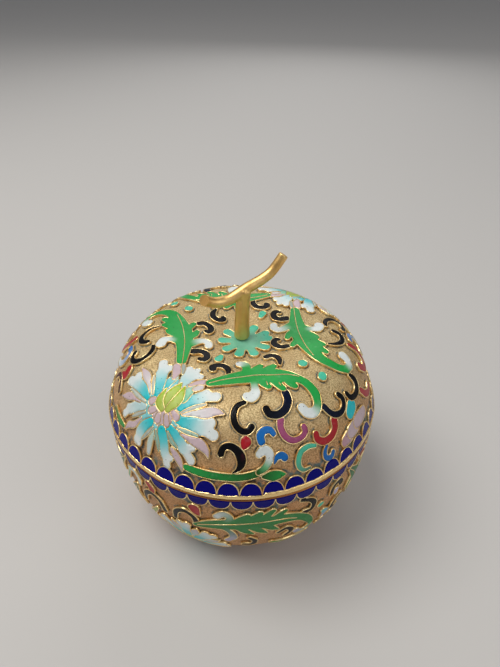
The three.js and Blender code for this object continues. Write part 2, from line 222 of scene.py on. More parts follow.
class Stroke:
    """A band along a smooth path. radius and tint are one value, or several spread evenly along it."""

    def __init__(self, points, radius, tint):
        p = np.array(points, float)
        r = np.interp(np.linspace(0, 1, len(p)), np.linspace(0, 1, np.size(radius)), np.ravel(radius))
        path = smooth_path(np.column_stack([p, r]))
        self.centre, self.radius = path[:, :2], np.maximum(path[:, 2], 0.08)
        self.tint = np.array(tint, float).reshape(-1, 3)

    def read(self, x, y):
        """Signed distance to the edge, distance over radius, and how far along, at each point."""
        if len(self.centre) == 1:
            d = np.hypot(x - self.centre[0, 0], y - self.centre[0, 1])
            return d - self.radius[0], d / self.radius[0], np.zeros_like(d)
        best = np.full(np.shape(x), 1e9)
        ratio = np.zeros(np.shape(x))
        where = np.zeros(np.shape(x))
        count = len(self.centre) - 1
        for i in range(count):
            a, b = self.centre[i], self.centre[i + 1]
            d = b - a
            size = max(float(d @ d), 1e-9)
            t = np.clip(((x - a[0]) * d[0] + (y - a[1]) * d[1]) / size, 0, 1)
            radius = self.radius[i] + t * (self.radius[i + 1] - self.radius[i])
            away = np.hypot(x - a[0] - t * d[0], y - a[1] - t * d[1])
            nearer = away - radius < best
            best = np.where(nearer, away - radius, best)
            ratio = np.where(nearer, away / radius, ratio)
            where = np.where(nearer, (i + t) / count, where)
        return best, ratio, where


class Cell:
    """One enamel cell: the union of its strokes. Later cells give way to earlier ones."""

    def __init__(self, family, strokes, veins=(), blend=0.15, once=False):
        self.family = family
        self.strokes = strokes
        self.veins = [smooth_path(v) for v in veins]
        self.blend = blend
        self.once = once
        ends = np.vstack([np.column_stack([s.centre - s.radius[:, None], s.centre + s.radius[:, None]])
                          for s in strokes])
        self.low = ends[:, :2].min(0) - CELL_MARGIN
        self.high = ends[:, 2:].max(0) + CELL_MARGIN

    def field(self, x, y):
        f = self.strokes[0].read(x, y)[0]
        for s in self.strokes[1:]:
            g = s.read(x, y)[0]
            h = np.clip(0.5 + 0.5 * (g - f) / self.blend, 0, 1)
            f = g * (1 - h) + f * h - self.blend * h * (1 - h)
        return f

    def tint(self, plan):
        total = np.zeros((len(plan), 3))
        weight = np.zeros(len(plan))
        for s in self.strokes:
            _, ratio, where = s.read(plan[:, 0], plan[:, 1])
            w = np.exp(-2.2 * ratio ** 2) + 1e-6
            stops = np.linspace(0, 1, len(s.tint))
            colour = np.column_stack([np.interp(where, stops, s.tint[:, k]) for k in range(3)])
            total += w[:, None] * colour
            weight += w
        return total / weight[:, None]


def grid(low, high):
    """The points of the plan's square grid from low to just past high."""
    cols, rows = (int((high[k] - low[k]) / FIELD_STEP) + 2 for k in (0, 1))
    return np.meshgrid(low[0] + FIELD_STEP * np.arange(cols), low[1] + FIELD_STEP * np.arange(rows))


def zero_loops(f, low):
    """Closed loops where a field on the grid from low crosses zero, the inside on their left."""
    a, b, c, d = f[:-1, :-1] < 0, f[:-1, 1:] < 0, f[1:, 1:] < 0, f[1:, :-1] < 0
    case = a * 1 + b * 2 + c * 4 + d * 8
    turns = {1: [(0, 3)], 2: [(1, 0)], 3: [(1, 3)], 4: [(2, 1)], 5: [(0, 3), (2, 1)], 6: [(2, 0)],
             7: [(2, 3)], 8: [(3, 2)], 9: [(0, 2)], 10: [(1, 0), (3, 2)], 11: [(1, 2)], 12: [(3, 1)],
             13: [(0, 1)], 14: [(3, 0)]}
    follow, place = {}, {}

    def crossing(i, j, edge):
        # an edge is named by its lower or left grid point and its direction
        i0, j0, across = [(i, j, 1), (i, j + 1, 0), (i + 1, j, 1), (i, j, 0)][edge]
        key = (i0, j0, across)
        if key not in place:
            i1, j1 = (i0, j0 + 1) if across else (i0 + 1, j0)
            p, q = f[i0, j0], f[i1, j1]
            t = p / (p - q)
            place[key] = (low[0] + FIELD_STEP * (j0 + t * (j1 - j0)),
                          low[1] + FIELD_STEP * (i0 + t * (i1 - i0)))
        return key

    for i, j in zip(*np.nonzero((case > 0) & (case < 15))):
        for start, end in turns[int(case[i, j])]:
            follow[crossing(i, j, start)] = crossing(i, j, end)
    loops = []
    while follow:
        first = next(iter(follow))
        loop, key = [], first
        while key in follow:
            loop.append(place[key])
            key = follow.pop(key)
        loops.append(np.array(loop))
    return loops


def thinned(points, slack=0.015, most=0.8):
    """The fewest of the points that keep the line within slack, none further apart than most."""
    keep = np.zeros(len(points), bool)
    keep[[0, -1]] = True
    stack = [(0, len(points) - 1)]
    while stack:
        i, j = stack.pop()
        if j - i < 2:
            continue
        a, b = points[i], points[j]
        d = b - a
        size = np.hypot(*d)
        mid = points[i + 1:j]
        if size < 1e-6:
            away = np.hypot(*(mid - a).T)
        else:
            away = np.abs(d[0] * (mid[:, 1] - a[1]) - d[1] * (mid[:, 0] - a[0])) / size
        k = int(away.argmax())
        if away[k] <= slack and size <= most:
            continue
        k = k if away[k] > slack else (j - i) // 2 - 1
        keep[i + 1 + k] = True
        stack += [(i, i + 1 + k), (i + 1 + k, j)]
    return points[keep]


def thinned_ring(loop):
    """A loop thinned, its first point given again at its end."""
    return thinned(np.vstack([loop, loop[:1]]))


def loop_area(loop):
    """The signed area inside a loop, positive where it runs counter-clockwise."""
    x, y = loop[:, 0], loop[:, 1]
    return 0.5 * float(np.sum(x * np.roll(y, -1) - y * np.roll(x, -1)))


class Pattern:
    """One side's cells. Each is laid out in the plan, carved by the ones before it, and given its
    wires, less the stretches that run along a wire that is already there."""

    def __init__(self, place, copies, border):
        self.place = place
        self.copies = copies
        self.border = border
        self.cells = []
        self.laid = np.zeros((0, 2))
        self.chips = []
        self.wires = []

    def lay_wire(self, points, closed, once):
        self.wires.append((points, closed, once))
        ways = self.copies[:1] if once else self.copies
        dense = smooth_path(points, 0.1) if len(points) > 2 else points
        self.laid = np.vstack([self.laid] + [np.column_stack(way(dense[:, 0], dense[:, 1])) for way in ways])

    def add(self, cell):
        x, y = grid(cell.low, cell.high)
        f = np.maximum(cell.field(x, y), self.border(x, y))
        for other in self.cells:
            for way in self.copies[:1] if other.once else self.copies:
                u, v = way(x, y)
                if (u.max() > other.low[0] and u.min() < other.high[0]
                        and v.max() > other.low[1] and v.min() < other.high[1]):
                    f = np.maximum(f, -other.field(u, v))
        f[[0, -1], :] = np.maximum(f[[0, -1], :], 0.01)
        f[:, [0, -1]] = np.maximum(f[:, [0, -1]], 0.01)
        self.cells.append(cell)
        loops = [loop for loop in zero_loops(f, cell.low) if abs(loop_area(loop)) > SMALLEST_CELL]
        if not any(loop_area(loop) > 0 for loop in loops):
            return
        near = self.laid[np.all((self.laid > cell.low - 1) & (self.laid < cell.high + 1), axis=1)]
        for loop in loops:
            self.wire_round(loop, near, cell.once)
        for vein in cell.veins:
            inside = sample(f, cell.low, vein) < 0.15
            for run in runs_of(inside):
                if len(run) > 3:
                    self.lay_wire(thinned(vein[run]), False, cell.once)
        self.chips.append((cell, f, [thinned_ring(loop)[:-1] for loop in loops]))

    def wire_round(self, loop, near, once):
        if len(near):
            gap = np.array([np.min((near[:, 0] - p[0]) ** 2 + (near[:, 1] - p[1]) ** 2) for p in loop])
            free = gap > SHARED_WIRE ** 2
        else:
            free = np.ones(len(loop), bool)
        if free.all():
            self.lay_wire(thinned_ring(loop), True, once)
            return
        start = int(np.argmin(free))
        loop, free = np.roll(loop, -start, axis=0), np.roll(free, -start)
        loop, free = np.vstack([loop, loop[:1]]), np.append(free, False)
        for run in runs_of(free):
            if len(run) > 4:
                reach = np.arange(max(run[0] - 1, 0), min(run[-1] + 2, len(loop)))
                self.lay_wire(thinned(loop[reach]), False, once)


def runs_of(flags):
    """Stretches of consecutive indices where the flag is set."""
    index = np.nonzero(flags)[0]
    if not len(index):
        return []
    return np.split(index, np.nonzero(np.diff(index) > 1)[0] + 1)


def sample(f, low, plan):
    """The field read between its grid points."""
    gx = np.clip((plan[:, 0] - low[0]) / FIELD_STEP, 0, f.shape[1] - 1.001)
    gy = np.clip((plan[:, 1] - low[1]) / FIELD_STEP, 0, f.shape[0] - 1.001)
    j, i = gx.astype(int), gy.astype(int)
    u, v = gx - j, gy - i
    return (f[i, j] * (1 - u) * (1 - v) + f[i, j + 1] * u * (1 - v)
            + f[i + 1, j] * (1 - u) * v + f[i + 1, j + 1] * u * v)


# ---------------------------------------------------------------- meshes
class Build:
    """Gathers closed bits of mesh for one piece."""

    def __init__(self):
        self.verts, self.faces, self.tints, self.count = [], [], [], 0

    def add(self, verts, faces, tint=None):
        self.verts.append(np.asarray(verts, float))
        self.faces.append(np.asarray(faces, int) + self.count)
        self.tints.append(np.zeros((len(verts), 3)) if tint is None else np.asarray(tint, float))
        self.count += len(verts)

    def piece(self, name, slot, replaces=(), attribute=None):
        verts = np.vstack(self.verts) * MM
        mesh = bpy.data.meshes.new(name)
        sizes = np.concatenate([np.full(len(f), f.shape[1]) for f in self.faces])
        corners = np.concatenate([f.ravel() for f in self.faces])
        mesh.vertices.add(len(verts))
        mesh.vertices.foreach_set("co", verts.ravel())
        mesh.loops.add(len(corners))
        mesh.loops.foreach_set("vertex_index", corners)
        mesh.polygons.add(len(sizes))
        mesh.polygons.foreach_set("loop_start", np.concatenate([[0], np.cumsum(sizes)[:-1]]))
        mesh.polygons.foreach_set("use_smooth", np.ones(len(sizes), bool))
        mesh.update(calc_edges=True)
        mesh.validate()
        if attribute:
            colours = np.column_stack([np.vstack(self.tints), np.ones(len(verts))])
            layer = mesh.color_attributes.new(attribute, "FLOAT_COLOR", "POINT")
            layer.data.foreach_set("color", colours.ravel())
        obj = bpy.data.objects.new(name, mesh)
        bpy.context.scene.collection.objects.link(obj)
        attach(obj, "root")
        if replaces:
            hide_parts(*replaces)
        return obj


def ring_quads(n, m, closed):
    """Quads joining n rings of m points each; where closed, the last ring joins the first."""
    index = np.arange(n * m).reshape(n, m)
    here, after = (index, np.roll(index, -1, axis=0)) if closed else (index[:-1], index[1:])
    corners = [here, np.roll(here, -1, axis=1), np.roll(after, -1, axis=1), after]
    return np.stack(corners, axis=-1).reshape(-1, 4)


def ribbon(build, place, points, closed, width, height):
    """A wire on edge along a plan line, with a rounded top, its foot below the ground."""
    flat = points[:-1] if closed else points
    if len(flat) < 2:
        return
    base = place(flat, np.zeros(len(flat)))
    up = place(flat, np.ones(len(flat))) - base
    if closed:
        along = np.roll(base, -1, axis=0) - np.roll(base, 1, axis=0)
    else:
        along = np.gradient(base, axis=0)
    across = np.cross(up, along)
    across /= np.maximum(np.linalg.norm(across, axis=1), 1e-9)[:, None]
    walk = np.concatenate([[0], np.cumsum(np.linalg.norm(np.diff(base, axis=0), axis=1))])
    uneven = 1 + 0.1 * np.sin(1.7 * walk + base[:, 0]) + 0.06 * np.sin(4.1 * walk + base[:, 1])
    if closed:
        fade = np.clip(np.minimum(walk, walk[-1] - walk) / 1.5, 0, 1)
        uneven = 1 + (uneven - 1) * fade
    half = width / 2 * uneven
    section = [(-1, WIRE_ROOT), (-1, height - 0.13), (-0.45, height - 0.02), (0.45, height - 0.02),
               (1, height - 0.13), (1, WIRE_ROOT)]
    rings = np.stack([base + across * (half * a)[:, None] + up * b for a, b in section], axis=1)
    n, m = len(flat), len(section)
    build.add(rings.reshape(-1, 3), ring_quads(n, m, closed))
    if not closed:
        first = np.arange(m)
        build.faces.append(np.array([first[::-1], first + (n - 1) * m]) + build.count - n * m)


def fill(cell, f, loops, depth, rise):
    """One chip of enamel: its plan points, lifts, faces and tints, top, side and underside."""
    rims = [loop for loop in loops if len(loop) > 2]
    low, high = np.vstack(rims).min(0), np.vstack(rims).max(0)
    gx, gy = np.meshgrid(np.arange(low[0], high[0], FILL_STEP), np.arange(low[1], high[1], FILL_STEP))
    gx = gx + (np.arange(len(gx)) % 2)[:, None] * FILL_STEP / 2
    inner = np.column_stack([gx.ravel(), gy.ravel()])
    if len(inner):
        inner = inner[sample(f, cell.low, inner) < -0.3]
    rim = np.vstack(rims)
    edges, start = [], 0
    for loop in rims:
        n = len(loop)
        edges += [(start + i, start + (i + 1) % n) for i in range(n)]
        start += n
    coords = [Vector(p) for p in np.vstack([rim, inner])]
    verts, _, faces, *_ = delaunay_2d_cdt(coords, edges, [], 0, 1e-6)
    plan = np.array([v[:] for v in verts])
    faces = np.array([t for t in faces if len(t) == 3], int)
    middle = plan[faces].mean(axis=1)
    faces = faces[sample(f, cell.low, middle) < 0]
    if not len(faces):
        return None
    a, b, c = (plan[faces[:, k]] for k in range(3))
    turn = (b[:, 0] - a[:, 0]) * (c[:, 1] - a[:, 1]) - (b[:, 1] - a[:, 1]) * (c[:, 0] - a[:, 0])
    faces[turn < 0] = faces[turn < 0][:, ::-1]
    used = np.unique(faces)
    renumber = np.full(len(plan), -1)
    renumber[used] = np.arange(len(used))
    plan, faces = plan[used], renumber[faces]
    inside = -sample(f, cell.low, plan)
    lift = rise + MENISCUS * np.exp(-np.maximum(inside, 0) / 0.35)
    pairs = np.vstack([faces[:, [0, 1]], faces[:, [1, 2]], faces[:, [2, 0]]])
    seen = set(map(tuple, pairs))
    outer = np.array([(p, q) for p, q in pairs if (q, p) not in seen], int)
    n = len(plan)
    skirt = np.column_stack([outer[:, 0], outer[:, 0] + n, outer[:, 1] + n, outer[:, 1]])
    plans = np.vstack([plan, plan])
    lifts = np.concatenate([lift, np.full(n, depth)])
    return plans, lifts, [faces, faces[:, ::-1] + n], skirt, cell.tint(plans)


# ---------------------------------------------------------------- the lid's motifs
# Plan millimetres from the lid's centre, x to the right and y away from the front. One half is
# listed; the other is the same turned by half a turn.
def curl(points, girth, tint, family="black"):
    """A curling band; girth gives the half-widths of enamel that show along it."""
    return Cell(family, [Stroke(points, np.array(girth) + WIRE_WIDTH / 2, tint)])


def band(family, points, radius, tint):
    """A cell of one stroke."""
    return Cell(family, [Stroke(points, radius, tint)])


def fingers(tint, rows):
    """The lobes along a leaf's edge, all of one tint, from rows of points and radii."""
    return [Stroke(points, radius, tint) for points, radius in rows]


def scroll(points, width, tint, family="black", end=1.15):
    """A curl that starts slim and swells into a rounded end."""
    return curl(points, np.array([0.75, 0.95, 1.0, 0.98, end]) * width / 2, tint, family)


def ray(centre, reach, bearing):
    a = math.radians(bearing)
    return centre[0] + reach * math.cos(a), centre[1] + reach * math.sin(a)


LEAF_A = Cell("leaves", [
    Stroke([(-15.8, -12), (-15.8, -8), (-15.9, -5), (-16.2, -2), (-16.9, 1.5), (-17.8, 4), (-19.2, 7),
            (-20.9, 9.6), (-23, 11.2), (-26, 12.1), (-28.4, 11.7)],
           [1.4, 1.85, 2.3, 2.55, 2.6, 2.3, 2.0, 1.75, 1.5, 1.3, 1.2], GREEN),
    Stroke([(-28.4, 11.7), (-29.6, 9.8), (-28.9, 8), (-28, 7.2)], [1.2, 1.2, 1.4, 1.6],
           (GREEN, WHITE, WHITE)),
    *fingers(GREEN, [([(-16, 2.4), (-14.6, 4), (-14.1, 4.8)], [1.4, 0.95, 0.8]),
                     ([(-15.7, -1.6), (-13.7, -0.5), (-12.9, 1.2)], [1.5, 1.15, 0.85]),
                     ([(-18, -1), (-20.4, 0.4), (-21.2, 1.3)], [1.3, 1.0, 0.75]),
                     ([(-19.2, 2.2), (-21.4, 3.5), (-22.5, 4.2)], [1.3, 1.05, 0.9]),
                     ([(-20.2, 4.8), (-22, 6.4), (-22.9, 7.2)], [1.3, 1.1, 0.95])]),
    Stroke([(-18, -3.5), (-19.8, -2.7), (-21.7, -3), (-22.3, -4.6)], [1.1, 1.05, 1.35, 1.5],
           (GREEN, WHITE, WHITE)),
    Stroke([(-14, -4.7), (-12.4, -3.3), (-10.5, -2.8), (-9.3, -3.8), (-9.2, -5)],
           [1.2, 1.25, 1.1, 1.15, 1.15],
           (GREEN, WHITE, WHITE)),
], veins=[[(-15.5, -13.3), (-15.7, -6.6), (-16.1, -2.1), (-17, 2.4), (-18, 5.7), (-19.5, 9.3)]])

LEAF_B = Cell("leaves", [
    Stroke([(-7.6, -20.4), (-4, -19.4), (0, -18.3), (3, -17.8), (6, -17.6), (9, -17.5), (11.5, -17.6),
            (13.5, -18), (15.4, -18.7), (17.2, -19.9), (18.9, -22), (19.6, -24.3)],
           [1.2, 1.8, 2.35, 2.65, 2.75, 2.6, 2.15, 1.6, 1.3, 1.3, 1.3, 1.1], (GREEN, GREEN, GREEN)),
    Stroke([(19.6, -24.3), (19.4, -25.8), (18.4, -27), (16.7, -27.3), (15.4, -26.4)],
           [1.1, 1.2, 1.35, 1.3, 1.25],
           (GREEN, WHITE, WHITE)),
    Stroke([(1.2, -16.6), (1.5, -14.6), (0.9, -13.2), (-0.4, -12.8)], [1.2, 1.2, 1.35, 1.15],
           (GREEN, GREEN, WHITE)),
    *fingers(GREEN, [([(3.4, -16.2), (4.4, -14.6), (5.1, -13.8)], [1.6, 1.15, 0.95]),
                     ([(6.6, -16), (7.8, -14.5), (8.6, -13.8)], [1.6, 1.2, 0.95]),
                     ([(5, -19), (6.1, -20.7), (7, -21.4)], [1.5, 1.1, 0.95]),
                     ([(8.4, -19), (9.7, -20.9), (10.6, -21.7)], [1.4, 1.1, 0.95]),
                     ([(11.6, -18.8), (12.6, -20.1), (13.7, -20.7)], [1.1, 1.05, 0.9])]),
    Stroke([(3.3, -19.8), (3.6, -21.8), (3.7, -23.6), (2.7, -24.8), (1.7, -24.6)], [0.9, 1.0, 1.35, 1.5, 1.2],
           (GREEN, WHITE, WHITE)),
], veins=[[(-8, -20.5), (-4, -19.1), (0, -18.2), (4, -17.4), (8, -17.3), (12, -17), (15, -17.5)],
          [(6.9, -20.9), (6.5, -19.7)], [(10.2, -21), (9.7, -19.9)], [(12.9, -19.6), (12.5, -18.9)],
          [(5.8, -14.6), (5.4, -15.7)], [(1.6, -16.4), (2.3, -15.6)]])


def curls(rows, family):
    """Several curls of one family."""
    return [curl(*row, family) for row in rows]


BUD_CELLS = curls([
    ([(-19.9, -26), (-20.5, -24), (-18.7, -21.2)], [0.7, 0.95, 0.12], (YELLOW, BUD)),
    ([(-18.2, -26.6), (-15.5, -24.7), (-13.9, -21.4)], [0.7, 1.2, 0.12], (YELLOW, BUD)),
    ([(-18.6, -25.9), (-17, -23.4), (-14.9, -20.2)], [0.9, 1.75, 0.12], (YELLOW, BUD))], "bud")
STAMENS = curls([
    ([(-22.1, -23.3), (-22.8, -23.4)], [0.7, 0.9], PALE_PINK),
    ([(-21.9, -25.6), (-23.2, -25.6)], [0.7, 0.85], PALE_PINK),
    ([(-21, -27.5), (-21.5, -28.4)], [0.7, 0.95], PALE_PINK),
    ([(-18.7, -28.2), (-18.8, -30)], [0.6, 0.75], PALE_PINK),
    ([(-16.6, -27.7), (-15.9, -28.9)], [0.6, 0.85], PALE_PINK)], "pale")
SLIVERS = curls([
    ([(-14.5, -28.1), (-11.5, -27.3), (-8.4, -26.7)], [0.15, 0.38, 0.2], GREY_WHITE),
    ([(-15.9, -31.4), (-13.4, -32.7), (-10.6, -33.9)], [0.15, 0.42, 0.25], SEA * 0.4 + WHITE * 0.4),
    ([(-18.8, -32), (-18.2, -34.2), (-17, -36)], [0.15, 0.5, 0.25], SEA * 0.4 + WHITE * 0.3),
    ([(-22.6, -30.8), (-22.8, -33.6), (-23.2, -36.2)], [0.2, 0.5, 0.1], SEA * 0.4 + WHITE * 0.3),
    ([(-23.4, -29.9), (-25.8, -30.9), (-28.4, -31.7)], [0.15, 0.42, 0.15], GREY_WHITE * 0.8),
    ([(-25.3, -25.5), (-28, -25.2), (-30.4, -25)], [0.2, 0.45, 0.2], GREY_WHITE * 0.8),
    ([(-24.9, -22.9), (-27.4, -20.4), (-29.6, -17.7)], [0.2, 0.48, 0.25], GREY_WHITE),
    ([(-22.4, -21.6), (-22.5, -19), (-22.4, -16.6)], [0.15, 0.35, 0.2], GREY_WHITE),
    ([(-14.9, -17), (-14.9, -15.2), (-15, -13.8)], [0.15, 0.45, 0.4], GREY_WHITE * 0.7)], "pale")
POINTED = curls([
    ([(-14.2, -28.6), (-11, -28.7), (-8.2, -28.8), (-6, -28.6), (-3.9, -29.2)], [0.1, 0.6, 1.2, 0.9, 0.12],
     (WHITE, PALE_PINK)),
    ([(-15, -33), (-12.2, -34.9), (-10.2, -35.8), (-8.7, -37.6), (-8.3, -39.2)], [0.1, 0.7, 1.2, 0.7, 0.1],
     PALE_PINK),
    ([(-18.6, -36.2), (-17.7, -38), (-16.9, -40), (-16.7, -42.2)], [0.35, 0.9, 0.75, 0.1], PALE_PINK),
    ([(-23.4, -31.2), (-25.4, -33), (-27.3, -35.6)], [0.3, 0.85, 0.7],
     (SEA * 0.4 + WHITE * 0.5, WHITE * 0.8)),
    ([(-27, -26.6), (-30.4, -27.2), (-33, -26.4), (-35.5, -26.7)], [0.2, 0.75, 0.8, 0.1], PALE_PINK),
    ([(-26.6, -22.4), (-29, -20.3), (-31.2, -19), (-34.3, -17.5)], [0.1, 0.65, 0.95, 0.1], PALE_PINK),
    ([(-23.2, -21), (-23.7, -18.6), (-24.6, -15.8), (-26.2, -12.9)], [0.15, 0.4, 1.0, 0.1],
     (WHITE, PALE_PINK)),
    ([(-17, -18.2), (-16.5, -16), (-16.8, -14)], [0.4, 1.05, 0.8], PALE_PINK),
    ([(-12.6, -21), (-10.6, -20.3), (-8.9, -20.2)], [0.35, 0.6, 0.75], PALE_PINK),
    ([(-11.2, -22.3), (-9.9, -21.8)], [0.55, 0.75], WHITE * 0.5 + PALE_PINK * 0.5)], "pale")


def lobed(stem, girth, lobes, inner=CYAN):
    """A broad petal: its stem widens outward and its end breaks into round lobes."""
    middle = inner * 0.35 + WHITE * 0.65
    strokes = [Stroke(stem, np.array(girth) + WIRE_WIDTH / 2, (inner, inner * 0.85 + WHITE * 0.15, middle))]
    for x, y, size in lobes:
        strokes.append(Stroke([stem[-1], (x, y)], [girth[-1] * 0.7, size + WIRE_WIDTH / 2],
                              (middle, WHITE, WHITE)))
    return Cell("lotus", strokes, blend=0.5)


BROAD = [
    lobed([(-21, -22), (-20.6, -19), (-20.4, -16)], [0.9, 1.4, 1.6], [(-20.5, -12.6, 1.15),
                                                                      (-18.7, -14.7, 1.05)]),
    lobed([(-19, -21), (-18, -19.2), (-16.6, -18.2)], [0.6, 1.0, 0.7], []),
    lobed([(-14.6, -20.4), (-13.6, -18.8), (-12.8, -17.7)], [0.9, 1.6, 1.9],
          [(-13.3, -15.2, 0.85), (-11.2, -15.9, 0.8), (-10.3, -18.2, 0.85)], CYAN * 0.4 + WHITE * 0.6),
    lobed([(-13.9, -24.8), (-12.7, -22.8), (-11.8, -22)], [0.8, 1.1, 0.8], [], SEA),
    lobed([(-14.6, -26.7), (-12, -25.6), (-9.6, -24.8)], [1.0, 1.4, 1.5], [(-8.3, -23.7, 1.05),
                                                                           (-5.9, -24.7, 1.2)]),
    lobed([(-15.2, -29.6), (-12.4, -30.9), (-9.8, -32)], [1.0, 1.6, 1.8], [(-7.1, -31.2, 1.2),
                                                                           (-6.5, -34, 1.25)]),
    lobed([(-18, -31.3), (-16.4, -33.6), (-14.9, -36.4)], [1.0, 1.3, 1.5], [(-12.3, -36.6, 0.85),
                                                                            (-13.4, -39.8, 1.15)]),
    lobed([(-20.6, -31.2), (-20.8, -34), (-21.2, -37)], [1.2, 1.5, 1.4], [(-21.5, -40, 1.15),
                                                                          (-19.7, -38.6, 0.8)]),
    lobed([(-23.8, -28.4), (-26.6, -28.9), (-29, -30)], [1.0, 1.4, 1.5], [(-31, -31.3, 1.3),
                                                                          (-30.4, -32.3, 0.9)]),
    lobed([(-25.2, -24.2), (-28, -23.2), (-31, -22.7)], [0.7, 1.3, 1.3], [(-31.8, -21.9, 0.85),
                                                                          (-34.2, -22.7, 1.0)],
          CYAN * 0.3 + WHITE * 0.6),
    lobed([(-24, -22), (-25.8, -19.4), (-27.6, -17.2)], [0.7, 1.4, 1.7], [(-29.8, -15.2, 1.25),
                                                                          (-27.2, -15, 1.15)])]


HEART = [band("pale", [(-20.4, -27.6), (-19.4, -28.2)], 2.6, PALE_PINK),
         band("lotus", [(-19.6, -26)], 8.2, CYAN * 0.7 + WHITE * 0.3)]


def narrow_petal(root, tip):
    """A slim pointed petal between two broad ones."""
    root, tip = np.array(root), np.array(tip)
    middle = root + 0.6 * (tip - root)
    return band("pale", [root, root + 0.3 * (tip - root), middle, tip], [0.3, 0.7, 1.45, 0.12],
                (CYAN * 0.4 + WHITE * 0.6, PALE_PINK))


def broad_petal(root, tips):
    """A broad petal whose end breaks into lobes, laid out by its root and its two tips."""
    root, tips = np.array(root, float), np.array(tips, float)
    neck = root + 0.6 * (tips.mean(axis=0) - root)
    return lobed([root, root + 0.55 * (neck - root), neck], [1.1, 1.7, 2.1], [(*tip, 1.1) for tip in tips])


